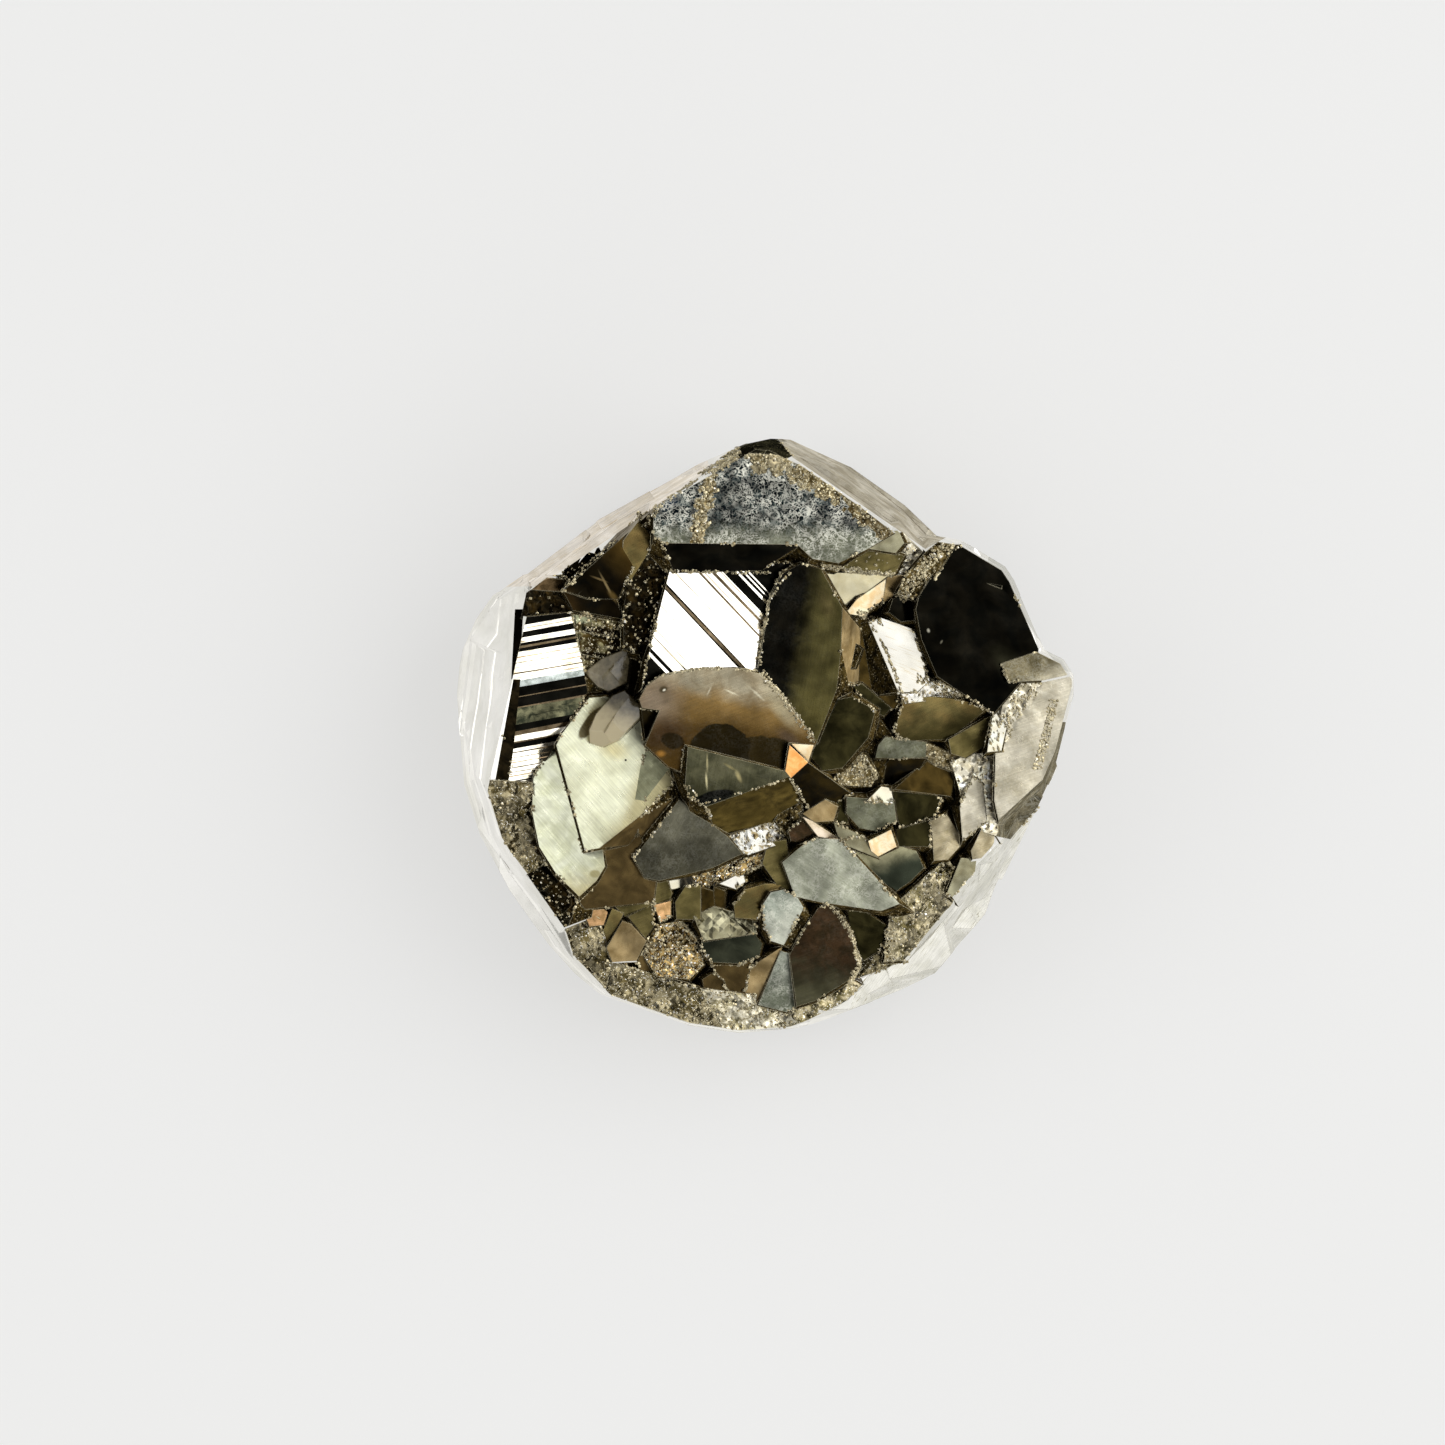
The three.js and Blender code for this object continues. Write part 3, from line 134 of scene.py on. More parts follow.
def put_in_scene(name: str, data: bpy.types.ID) -> bpy.types.Object:
    """Makes an object of some data and links it to the scene."""
    thing = bpy.data.objects.new(name, data)
    bpy.context.scene.collection.objects.link(thing)
    return thing


def finished_mesh(name: str, mesh: BMesh) -> bpy.types.Mesh:
    """Turns a working mesh into one that an object can have."""
    data = bpy.data.meshes.new(name)
    mesh.to_mesh(data)
    return data


def merged_solid(node: str, flat: float) -> BMesh:
    """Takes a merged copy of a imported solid, with each flat face in one piece.

    Args:
        node: The solid.
        flat: How many degrees two faces may differ by and still be one.

    Returns:
        The copy.
    """
    mesh = bmesh.new()
    mesh.from_mesh(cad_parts[node].data)
    bmesh.ops.remove_doubles(mesh, verts=mesh.verts, dist=TOUCHING)
    bmesh.ops.dissolve_limit(mesh, angle_limit=math.radians(flat), verts=mesh.verts, edges=mesh.edges)
    return mesh


def seen_from_above(tree: BVHTree, place: Plan | Vector) -> tuple[Vector | None, int | None]:
    """Looks straight down at a place in the plan.

    Args:
        tree: What is looked at.
        place: Where, in millimetres.

    Returns:
        The point that is seen and the number of its face, or nothing.
    """
    spot, _, index, _ = tree.ray_cast(Vector((*place, SKY)) * MM, DOWN)
    return spot, index


class Wiring:
    """Adds nodes to one node tree and joins them up."""

    def __init__(self, tree: bpy.types.NodeTree) -> None:
        """Starts from an empty tree."""
        self.tree = tree
        tree.nodes.clear()

    def node(self, kind: str, inputs: dict[int | str, object] | None = None,
             **settings: object) -> bpy.types.Node:
        """Adds a node.

        Args:
            kind: The node's type.
            inputs: What its sockets take, by name or number: a value, or a socket to link from.
            settings: The node's own properties.

        Returns:
            The new node.
        """
        node = self.tree.nodes.new(kind)
        for name, value in settings.items():
            setattr(node, name, value)
        for socket, value in (inputs or {}).items():
            if isinstance(value, Socket):
                self.tree.links.new(value, node.inputs[socket])
            else:
                node.inputs[socket].default_value = value
        return node

    def maths(self, operation: str, *values: object) -> Socket:
        """One sum on numbers or sockets."""
        return self.node("ShaderNodeMath", dict(enumerate(values)), operation=operation).outputs[0]

    def vector(self, operation: str, *values: object) -> Socket:
        """One sum on vectors or sockets; a dot product and a length give a number."""
        node = self.node("ShaderNodeVectorMath", dict(enumerate(values)), operation=operation)
        return node.outputs["Value" if operation in ("DOT_PRODUCT", "LENGTH") else "Vector"]

    def scaled(self, vector: Socket, scale: Socket) -> Socket:
        """A vector or a colour times a number."""
        return self.node("ShaderNodeVectorMath", {0: vector, "Scale": scale}, operation="SCALE").outputs[0]

    def between(self, value: Socket, low: float, high: float, out: Span = (0.0, 1.0)) -> Socket:
        """Maps a socket's range onto another, smoothly and held at both ends.

        Args:
            value: The number to map.
            low: What becomes the first output.
            high: What becomes the second output.
            out: The two outputs.

        Returns:
            The mapped number.
        """
        node = self.node("ShaderNodeMapRange", {0: value, 1: low, 2: high, 3: out[0], 4: out[1]},
                         interpolation_type="SMOOTHSTEP")
        return node.outputs[0]

    def mixed(self, share: object, first: object, second: object) -> Socket:
        """Mixes two colours."""
        node = self.node("ShaderNodeMix", {0: share, 6: first, 7: second}, data_type="RGBA")
        return node.outputs[2]

    def cloud(self, place: Socket, size: float, detail: float = 3.0, distortion: float = 0.0) -> Socket:
        """Noise whose lumps are about `size` millimetres across.

        Args:
            place: Where it is read, in millimetres.
            size: The size of its lumps.
            detail: How many finer layers it has.
            distortion: How far it is stirred.

        Returns:
            The noise, from 0 to 1.
        """
        node = self.node("ShaderNodeTexNoise", {"Vector": place, "Scale": 1 / size, "Detail": detail,
                                                "Roughness": 0.6, "Distortion": distortion})
        return node.outputs[0]

    def stirred(self, value: Socket, clouds: Socket, amount: float) -> Socket:
        """Adds noise to a number, up to `amount` either way."""
        return self.maths("ADD", value, self.between(clouds, *CLOUDS, (-amount, amount)))

    def progress(self, place: Socket, start: Plan, end: Plan, clouds: Socket) -> Socket:
        """Tells how far a place is on the way from a start to an end, with an uneven front.

        Args:
            place: The place, in millimetres.
            start: Where the way begins.
            end: Where it ends.
            clouds: The noise that makes the front uneven.

        Returns:
            The share of the way, from 0 to 1.
        """
        run = Vector(end) - Vector(start)
        along = run / run.length_squared
        offset = Vector(start).dot(along)
        dot = self.vector("DOT_PRODUCT", place, (along.x, along.y, 0))
        return self.between(self.stirred(dot, clouds, FADE_STIR), offset, offset + 1)

    def millimetres(self) -> Socket:
        """Object coordinates in millimetres."""
        place = self.node("ShaderNodeTexCoord").outputs["Object"]
        return self.node("ShaderNodeMapping", {"Vector": place, "Scale": (1 / MM,) * 3}).outputs[0]

    def bumped(self, height: Socket, depth: float, normal: Socket | None = None) -> Socket:
        """Bends a normal by a relief.

        Args:
            height: The relief, from 0 to 1.
            depth: Its depth in millimetres.
            normal: The normal to bend, if it isn't the face's own.

        Returns:
            The bent normal.
        """
        bump = self.node("ShaderNodeBump", {"Strength": 1.0, "Distance": depth * MM, "Height": height})
        if normal is not None:
            self.tree.links.new(normal, bump.inputs["Normal"])
        return bump.outputs[0]

    def surface(self, inputs: dict[str, object]) -> None:
        """Ends a material in a shader with those inputs."""
        shader = self.node("ShaderNodeBsdfPrincipled", inputs)
        self.node("ShaderNodeOutputMaterial", {"Surface": shader.outputs[0]})


def new_material(name: str) -> tuple[bpy.types.Material, Wiring]:
    """Makes an empty material, and the wiring of its nodes."""
    material = bpy.data.materials.new(name)
    material.use_nodes = True
    return material, Wiring(material.node_tree)


class Texture(Enum):
    """What the fine relief of a face is like."""

    SMOOTH = "smooth"
    FROSTED = "frosted"
    BRUSHED = "brushed"
    PITTED = "pitted"
    GRANULAR = "granular"
    SCRATCHED = "scratched"


class Facing(Enum):
    """The way that the microscopic steps of a face are turned, as the direction and tilt in degrees."""

    LIGHT = (15, 21)
    SIDE = (330, 17)
    FRONT = (300, 27)
    LEFT = (150, 17)


class Zone(IntEnum):
    """What stands for a facet's number on the faces that no facet claims."""

    GULLY = 0
    WALL = -1
    BELLY = -2


@dataclass(frozen=True)
class Mark:
    """A soft-edged oval patch of another colour.

    Attributes:
        at: Its centre in the plan.
        reach: Its two half-widths.
        colour: Its colour.
        turn: Degrees that it is turned by.
        softness: The share of its reach that fades out.
        share: How much it covers.
    """

    at: Plan
    reach: Plan
    colour: Colour
    turn: float = 0.0
    softness: float = 0.35
    share: float = 1.0


@dataclass(frozen=True)
class Fade:
    """A change of colour across a face.

    Attributes:
        start: Where in the plan it begins.
        end: Where it is complete.
        colour: What it ends in.
    """

    start: Plan
    end: Plan
    colour: Colour


@dataclass(frozen=True)
class Finish:
    """How one kind of crystal face looks.

    Attributes:
        name: What it is called.
        tint: Its main colour, as reflected.
        shade: The colour of its cloudy patches.
        patch: The size of those patches.
        balance: How far the patches spread, from 0 to 1.
        blur: How soft they are.
        roughness: How dull it is.
        texture: Its fine relief.
        depth: The depth of that relief in millimetres.
        fleck: The colour of its flecks, if it has any.
        fleck_size: How large they are.
        fleck_share: How much of it they cover.
        turn: The direction of its scratches, in degrees.
        lines: The colour of thin lines along that direction, if it has any.
        felt: How strongly short curved scratches show on it.
        play: How far its painted sheen goes up and down: brightness that changes across it in place of
            changing reflections.
        fades: Changes of colour across it.
        marks: Oval patches on it.
        edge: How much its convex edges turn paler, partly wear and partly a painted highlight.
        facing: The way that its microscopic steps are turned, if they all are.
        outward: How many degrees its steps tilt away from the middle of the cluster instead.
        keep: The share of its own slope that it keeps, if its steps face another way.
    """

    name: str
    tint: Colour
    shade: Colour
    patch: float = 1.6
    balance: float = 0.5
    blur: float = 0.16
    roughness: float = 0.22
    texture: Texture = Texture.SMOOTH
    depth: float = 0.004
    fleck: Colour | None = None
    fleck_size: float = 0.25
    fleck_share: float = 0.12
    turn: float = 20.0
    lines: Colour | None = None
    felt: float = 0.1
    play: float = 0.4
    fades: tuple[Fade, ...] = ()
    marks: tuple[Mark, ...] = ()
    edge: float = 0.5
    facing: Facing | None = Facing.SIDE
    outward: float = 0.0
    keep: float = 0.0

    def colour_of(self, wiring: Wiring, place: Socket, streaks: Socket) -> Socket:
        """Wires the face's colour.

        Args:
            wiring: The material's nodes.
            place: Object coordinates in millimetres, shifted by the facet's number.
            streaks: Noise drawn out along the scratches.

        Returns:
            The colour.
        """
        middle = PATCH_LEVEL - PATCH_SPREAD * self.balance
        clouds = wiring.cloud(place, size=self.patch, detail=5.0, distortion=0.5)
        share = wiring.between(clouds, middle - self.blur, middle + self.blur)
        colour = wiring.mixed(share, rgba(self.tint), rgba(self.shade))
        if self.lines is not None:
            share = wiring.between(streaks, *LINE_LEVELS, (0.0, LINE_COVER))
            colour = wiring.mixed(share, colour, rgba(self.lines))
        for fade in self.fades:
            share = wiring.progress(place, fade.start, fade.end, clouds)
            colour = wiring.mixed(share, colour, rgba(fade.colour))
        for mark in self.marks:
            local = wiring.node("ShaderNodeMapping", {
                "Vector": place, "Location": (*mark.at, 0), "Rotation": (0, 0, math.radians(mark.turn)),
                "Scale": (*mark.reach, ENDLESS)}, vector_type="TEXTURE").outputs[0]
            reach = wiring.stirred(wiring.vector("LENGTH", local), clouds, MARK_STIR)
            cover = wiring.between(reach, 1 - mark.softness, 1.0, (mark.share, 0.0))
            colour = wiring.mixed(cover, colour, rgba(mark.colour))
        if self.fleck is not None:
            level = FLECK_LEVEL - FLECK_SPREAD * self.fleck_share
            flecks = wiring.cloud(place, size=self.fleck_size, detail=2.0)
            share = wiring.between(flecks, level, level + FLECK_EDGE)
            colour = wiring.mixed(share, colour, rgba(self.fleck))
        if self.texture in (Texture.BRUSHED, Texture.SCRATCHED):
            colour = wiring.scaled(colour, wiring.between(streaks, *BRUSH_LEVELS, BRUSH_RANGE))
        if self.texture is Texture.SCRATCHED:
            share = wiring.maths("MULTIPLY", self.scratches(wiring, place), self.felt)
            colour = wiring.mixed(share, colour, rgba(SCUFFED))
        # Painted sheen: soft clouds of brighter and darker colour across the face, standing for its changing
        # reflections
        sheen = wiring.between(wiring.cloud(place, size=2.2, detail=2.0), *CHANGE_LEVELS,
                               (1 - self.play, 1 + self.play))
        return wiring.scaled(colour, sheen)

    @staticmethod
    def scratches(wiring: Wiring, place: Socket) -> Socket:
        """Wires a felt of short curved scratches.

        Args:
            wiring: The material's nodes.
            place: Object coordinates in millimetres, shifted by the facet's number.

        Returns:
            How scratched the spot is, from 0 to 1.
        """
        lines = None
        for layer, (size, stir) in enumerate(SCRATCH_LAYERS):
            moved = wiring.vector("ADD", place, LAYER_SHIFT * layer)
            clouds = wiring.cloud(moved, size=size, detail=1.0, distortion=stir)
            level = wiring.maths("SUBTRACT", clouds, 0.5)
            line = wiring.between(wiring.maths("ABSOLUTE", level), *SCRATCH_WIDTH, (1.0, 0.0))
            lines = line if lines is None else wiring.maths("MAXIMUM", lines, line)
        broken = wiring.between(wiring.cloud(place, size=1.3, detail=2.0), *BROKEN_LEVELS, BROKEN_RANGE)
        return wiring.maths("MULTIPLY", lines, broken)

    def relief_of(self, wiring: Wiring, place: Socket, streaks: Socket) -> Socket:
        """Wires the height of the fine relief.

        Args:
            wiring: The material's nodes.
            place: Object coordinates in millimetres, shifted by the facet's number.
            streaks: Noise drawn out along the scratches.

        Returns:
            The height, from 0 to 1.
        """
        if self.texture is Texture.BRUSHED:
            return streaks
        if self.texture in (Texture.FROSTED, Texture.SCRATCHED):
            return wiring.cloud(place, size=0.22, detail=4.0)
        if self.texture is Texture.PITTED:
            cells = wiring.node("ShaderNodeTexVoronoi", {"Vector": place, "Scale": PITS})
            return wiring.between(cells.outputs["Distance"], *PIT_EDGE)
        if self.texture is Texture.GRANULAR:
            cells = wiring.node("ShaderNodeTexVoronoi", {"Vector": place, "Scale": GRANULES},
                                distance="CHEBYCHEV")
            return wiring.maths("ADD", cells.outputs["Distance"], wiring.cloud(place, size=0.5, detail=4.0))
        return wiring.cloud(place, size=1.2, detail=2.0)

    def stepped(self, wiring: Wiring, spot: Socket, normal: Socket) -> Socket:
        """Turns a face's normal the way that its microscopic steps face.

        Args:
            wiring: The material's nodes.
            spot: Object coordinates in millimetres.
            normal: The normal of the face with its relief.

        Returns:
            The normal of the steps with the same relief.
        """
        plane = wiring.node("ShaderNodeAttribute", attribute_name="plane").outputs["Vector"]
        share = 1 - self.keep
        if self.facing is not None:
            way, tilt = self.facing.value
            target = heading(way, 90 - tilt) * share
        else:
            away = wiring.vector("NORMALIZE", wiring.vector("MULTIPLY", spot, (1, 1, 0)))
            tilt = math.radians(self.outward)
            target = wiring.vector(
                "MULTIPLY_ADD", away, (math.sin(tilt) * share,) * 3, (0, 0, math.cos(tilt) * share))
        own = wiring.vector("MULTIPLY_ADD", plane, (self.keep,) * 3, target)
        uneven = wiring.vector("SUBTRACT", normal, plane)
        return wiring.vector("NORMALIZE", wiring.vector("ADD", uneven, own))

    def material(self) -> bpy.types.Material:
        """Makes the material."""
        material, wiring = new_material(self.name)
        spot = wiring.millimetres()
        number = wiring.node("ShaderNodeAttribute", attribute_name="facet").outputs["Fac"]
        shift = wiring.node("ShaderNodeCombineXYZ", {2: wiring.maths("MULTIPLY", number, FACET_SHIFT)})
        place = wiring.vector("ADD", spot, shift.outputs[0])
        drawn = wiring.node("ShaderNodeMapping", {
            "Vector": place, "Rotation": (0, 0, math.radians(self.turn)), "Scale": DRAWN_OUT},
            vector_type="TEXTURE").outputs[0]
        streaks = wiring.cloud(drawn, size=1.0, detail=5.0)
        colour = self.colour_of(wiring, place, streaks)
        # Convex edges turn paler: partly wear, partly a painted highlight along them
        rounded = wiring.node("ShaderNodeBevel", {"Radius": WEAR_AND_HIGHLIGHT_WIDTH * MM}, samples=4).outputs[0]
        flat = wiring.node("ShaderNodeNewGeometry").outputs["Normal"]
        worn = wiring.between(wiring.vector("DOT_PRODUCT", rounded, flat), *WEAR_AND_HIGHLIGHT_BEND, (0.0, self.edge))
        colour = wiring.mixed(worn, colour, rgba(WEAR_AND_EDGE_HIGHLIGHT))
        least, most = (min(1.0, self.roughness * change) for change in DULL_RANGE)
        dull = wiring.between(wiring.cloud(place, size=0.7, detail=3.0), *CHANGE_LEVELS, (least, most))
        wave = wiring.bumped(wiring.cloud(place, size=WAVE_SIZE, detail=1.0), WAVE_DEPTH, rounded)
        normal = wiring.bumped(self.relief_of(wiring, place, streaks), self.depth, wave)
        if self.facing is not None or self.outward:
            normal = self.stepped(wiring, spot, normal)
        wiring.surface({"Base Color": colour, "Metallic": 1.0, "Roughness": dull, "Normal": normal})
        return material


# Colours of the metal, from bright to black; on the mirror faces they mix tarnish with painted reflection,
# the near-black ones a painted dark mirror image
WHITE = (252, 249, 240)
SILVER = (244, 240, 228)
STRAW = (222, 214, 186)
SAND = (186, 172, 138)
BROWN = (70, 56, 26)
DEEP_BROWN = (38, 30, 12)
OLIVE = (104, 94, 58)
BLACK = (9, 9, 7)
INK = (18, 16, 11)
# The paler colour of convex edges, partly wear and partly a painted highlight
WEAR_AND_EDGE_HIGHLIGHT = (222, 213, 182)
SCUFFED = (214, 213, 200)
# Quartz where it is darkest and lightest
SMOKE = (62, 55, 38)
PALE_SMOKE = (210, 195, 156)

# Finishes that many crystals share
WALL = Finish("wall_bright", (246, 244, 239), (232, 230, 222), patch=5.0, roughness=0.16, edge=0.1,
              play=0.04, facing=None, outward=40, keep=0.3)
WALL_STREAKED = replace(WALL, name="wall_streaked", tint=(206, 199, 182), shade=(172, 163, 142),
                        patch=1.6, texture=Texture.BRUSHED, turn=-34, lines=(104, 94, 72), play=0.15)
WALL_ROSY = replace(WALL, name="wall_rosy", tint=(240, 233, 223), shade=(226, 216, 200), patch=2.0,
                    texture=Texture.BRUSHED, turn=33, lines=(198, 180, 150), play=0.08)
WALL_LINED = replace(WALL, name="wall_lined", tint=(232, 230, 222), shade=(218, 216, 205), patch=1.8,
                     texture=Texture.BRUSHED, turn=52, lines=(150, 144, 122), play=0.08)
SIDE_GREY = replace(WALL_STREAKED, name="side_grey", tint=(166, 158, 142), shade=(116, 108, 94))
WALL_PALE = replace(WALL, name="wall_pale", tint=(224, 223, 216), shade=(208, 206, 198))
BELLY = Finish("belly_dull", (190, 181, 157), (150, 140, 115), patch=2.2, roughness=0.34,
               texture=Texture.FROSTED, depth=0.012, play=0.15, facing=None)
GULLY = Finish("gully_brown", (66, 54, 26), (26, 21, 9), patch=0.6, blur=0.1, roughness=0.3,
               texture=Texture.GRANULAR, depth=0.03, fleck=SAND, fleck_size=0.12, fleck_share=0.1,
               edge=0.5, keep=0.2)
BLACK_MIRROR = Finish("black_mirror", BLACK, INK, roughness=0.12, edge=0.4)
DARK_BROWN = Finish("dark_brown", DEEP_BROWN, INK, roughness=0.2)
BROWN_MIRROR = Finish("brown_mirror", BROWN, DEEP_BROWN, roughness=0.2)
DARK_OLIVE = Finish("dark_olive", (52, 48, 26), (27, 25, 12), roughness=0.2)
OLIVE_SATIN = Finish("olive_satin", OLIVE, (74, 67, 38), roughness=0.3, texture=Texture.BRUSHED)
OLIVE_GOLD = Finish("olive_gold", (118, 100, 60), OLIVE, roughness=0.24, texture=Texture.BRUSHED, turn=25)
SLATE = Finish("slate_satin", (104, 105, 86), (78, 78, 60), patch=1.4, roughness=0.34,
               texture=Texture.SCRATCHED)
PALE_SLATE = Finish("pale_slate", (158, 160, 142), (116, 118, 101), patch=1.6, roughness=0.36,
                    texture=Texture.SCRATCHED, felt=0.4, turn=-34, play=0.3)
BLUE_SLATE = replace(PALE_SLATE, name="blue_slate", tint=(138, 144, 132), shade=(98, 104, 94),
                     fades=(Fade((0.4, -11.6), (1.7, -13.6), (168, 170, 156)),))
WEDGE_SLATE = replace(BLUE_SLATE, name="wedge_slate", tint=(148, 152, 138), fades=(
    Fade((1.6, -15.6), (1.1, -18.6), (88, 92, 78)),))
DARK_SLATE = Finish("dark_slate", (52, 54, 42), (36, 38, 30), roughness=0.28)
GREY_SATIN = Finish("grey_satin", (92, 90, 76), (66, 64, 52), patch=2.4, roughness=0.34,
                    texture=Texture.SCRATCHED, felt=0.06, turn=60, play=0.3,
                    fades=(Fade((-5.6, -6.0), (-6.6, -9.6), (62, 60, 48)),))
BRIGHT = Finish("bright_mirror", WHITE, SILVER, roughness=0.14, patch=2.4, facing=Facing.LIGHT, play=0.1)
WINDOW = replace(BRIGHT, name="window_bright", facing=Facing.FRONT, turn=-20, lines=(226, 208, 172))
CREAM = Finish("cream_mirror", (222, 214, 182), (206, 194, 154), roughness=0.18, facing=Facing.FRONT,
               play=0.2)
PALE_CREAM = replace(CREAM, name="cream_bright", tint=(255, 253, 240), shade=(244, 236, 210))
BEIGE = Finish("beige_satin", (184, 172, 142), (140, 128, 98), roughness=0.32, patch=1.4,
               texture=Texture.SCRATCHED)
PALE_BEIGE = Finish("pale_beige", (212, 205, 186), (176, 168, 146), patch=1.8, roughness=0.36,
                    texture=Texture.SCRATCHED, felt=0.2, depth=0.012, play=0.2)
GREY_TAN = Finish("grey_tan", (152, 148, 122), (120, 114, 88), roughness=0.28)
TAN = Finish("tan_satin", (156, 136, 98), (118, 99, 64), roughness=0.28)
MAUVE = Finish("mauve_satin", (86, 71, 42), (64, 52, 30), roughness=0.3)
MAROON = Finish("maroon_mirror", (62, 46, 30), (38, 30, 18), patch=1.1, roughness=0.2,
                texture=Texture.SCRATCHED, felt=0.012)
DULL_COPPER = Finish("copper_dull", (232, 184, 132), (176, 140, 92), patch=0.5, roughness=0.2)
COPPER = Finish("copper_mirror", (255, 204, 132), (244, 166, 92), patch=0.6, roughness=0.16,
                facing=Facing.FRONT, play=0.2)
PEACH = Finish("peach_mirror", (255, 243, 208), (246, 212, 158), patch=0.8, roughness=0.18,
               facing=Facing.FRONT, play=0.15)
PINK = Finish("pink_mirror", (228, 212, 190), (196, 178, 148), patch=0.7, roughness=0.2,
              facing=Facing.FRONT, play=0.3)
SANDY = Finish("sandy_crust", (132, 119, 88), (74, 63, 36), patch=0.5, blur=0.08, roughness=0.3,
               fleck=STRAW, fleck_size=0.12, fleck_share=0.14, edge=0.8)
PALE_CRUST = replace(SANDY, name="pale_crust", tint=(190, 181, 154), shade=(120, 110, 82))
HALF_CRUST = replace(SANDY, name="half_crust", tint=(152, 141, 112), shade=(90, 80, 54))
EARTHY = replace(SANDY, name="earthy_crust", tint=(110, 97, 68), shade=(56, 46, 25), edge=0.5)
BROWN_CRUST = Finish("brown_crust", (84, 71, 40), (34, 27, 11), patch=0.5, blur=0.08, roughness=0.3,
                     fleck=SAND, fleck_size=0.12, fleck_share=0.14, edge=0.6)
DARK_CRUST = Finish("dark_crust", (18, 15, 8), (44, 34, 15), patch=0.7, balance=0.3, blur=0.12,
                    roughness=0.26, texture=Texture.PITTED, depth=0.04, edge=0.15)
RIM = Finish("rim_crust", (176, 165, 134), (92, 84, 54), patch=1.1, blur=0.08, roughness=0.24,
             texture=Texture.FROSTED, depth=0.02, fleck=SILVER, fleck_size=0.14, fleck_share=0.1,
             edge=0.9, play=0.5)
DARK_RIM = replace(RIM, name="rim_dark", tint=(112, 103, 76), shade=(26, 22, 11), patch=0.8)
MID_RIM = replace(RIM, name="rim_middle", tint=(142, 132, 104), shade=(66, 58, 34))
PALE_RIM = replace(RIM, name="rim_pale", tint=(222, 215, 192), shade=(128, 120, 92))
SPARKLING = Finish("sparkling_crust", WHITE, (190, 172, 130), patch=0.4, balance=0.2, blur=0.05,
                   roughness=0.2, fleck=(84, 64, 28), fleck_size=0.2, fleck_share=0.05, facing=Facing.FRONT,
                   play=0.1, edge=0.9)
NUGGET = replace(SPARKLING, name="gold_crust", tint=(176, 150, 98), shade=(70, 52, 20), balance=0.5,
                 fleck=WHITE, fleck_share=0.2, facing=Facing.SIDE, play=0.5)
GRAINS = Finish("crust_grains", (196, 184, 150), (104, 88, 52), patch=0.35, blur=0.1, roughness=0.24,
                fleck=WHITE, fleck_size=0.3, fleck_share=0.12, play=0.4)

# Finishes of single crystals
SHOULDER = Finish(
    "shoulder_dark", (22, 17, 8), BLACK, patch=1.4, roughness=0.16,
    fades=(Fade((-10.6, 10.8), (-9.0, 12.2), (70, 54, 24)), Fade((-12.8, 9.6), (-14.6, 8.6), (74, 56, 28))),
    marks=(Mark((-11.0, 10.3), (1.5, 0.12), (136, 118, 82), turn=-62, softness=0.9, share=0.8),
           Mark((-11.6, 10.9), (0.8, 0.1), (120, 102, 68), turn=-20, softness=0.9, share=0.7),
           Mark((-10.6, 9.7), (0.7, 0.3), (84, 68, 36), turn=-50, softness=0.9)))
LEDGE = Finish("ledge_green", (118, 111, 80), (58, 47, 22), patch=0.7, balance=0.6, blur=0.06,
               roughness=0.28, fleck=STRAW, fleck_size=0.14, fleck_share=0.12, edge=0.6, marks=(
                   Mark((-11.2, 7.05), (2.0, 0.5), (24, 18, 8), turn=-14, softness=0.35),
                   Mark((-11.6, 5.4), (2.0, 0.42), (24, 18, 8), turn=-10, softness=0.35),
                   Mark((-10.5, 6.3), (0.7, 1.6), (24, 18, 8), softness=0.5),
                   Mark((-13.0, 8.1), (1.0, 0.35), (126, 128, 102), turn=-6, softness=0.4)))
LIP = Finish("lip_taupe", (96, 78, 54), (46, 35, 19), patch=0.7, roughness=0.22, texture=Texture.BRUSHED,
             turn=20, lines=(150, 132, 104))
CROWN_SLATE = Finish(
    "crown_slate", (58, 66, 65), (8, 14, 18), patch=0.5, balance=0.6, blur=0.08, roughness=0.4,
    texture=Texture.SCRATCHED, felt=0.75, depth=0.02, turn=8, play=0.3,
    fades=(Fade((0.0, 15.2), (0.0, 13.4), (98, 100, 84)),),
    marks=(Mark((-1.2, 17.4), (3.0, 0.7), (16, 20, 22), turn=6, softness=0.7, share=0.85),
           Mark((1.2, 15.6), (2.2, 0.35), (24, 29, 32), turn=4, softness=0.9, share=0.8),
           Mark((5.4, 15.4), (2.2, 0.8), (22, 28, 34), turn=-36, softness=0.7, share=0.85),
           Mark((-6.7, 16.2), (1.1, 0.6), (34, 42, 52), turn=40, softness=0.7)))
# The lighter oval near the upper right of the tall dark face is a painted reflection streak
TALL_DARK = Finish(
    "tall_dark", BLACK, INK, patch=1.2, roughness=0.24, turn=80, texture=Texture.SCRATCHED, felt=0.006,
    fades=(Fade((1.6, 6.0), (3.6, 5.6), (66, 61, 34)), Fade((2.4, 3.4), (3.0, 0.8), (70, 64, 34))),
    marks=(Mark((4.3, 9.2), (0.8, 1.6), (78, 70, 42), turn=20, softness=0.9),
           Mark((1.4, 10.4), (1.0, 1.6), BLACK, softness=0.8)))
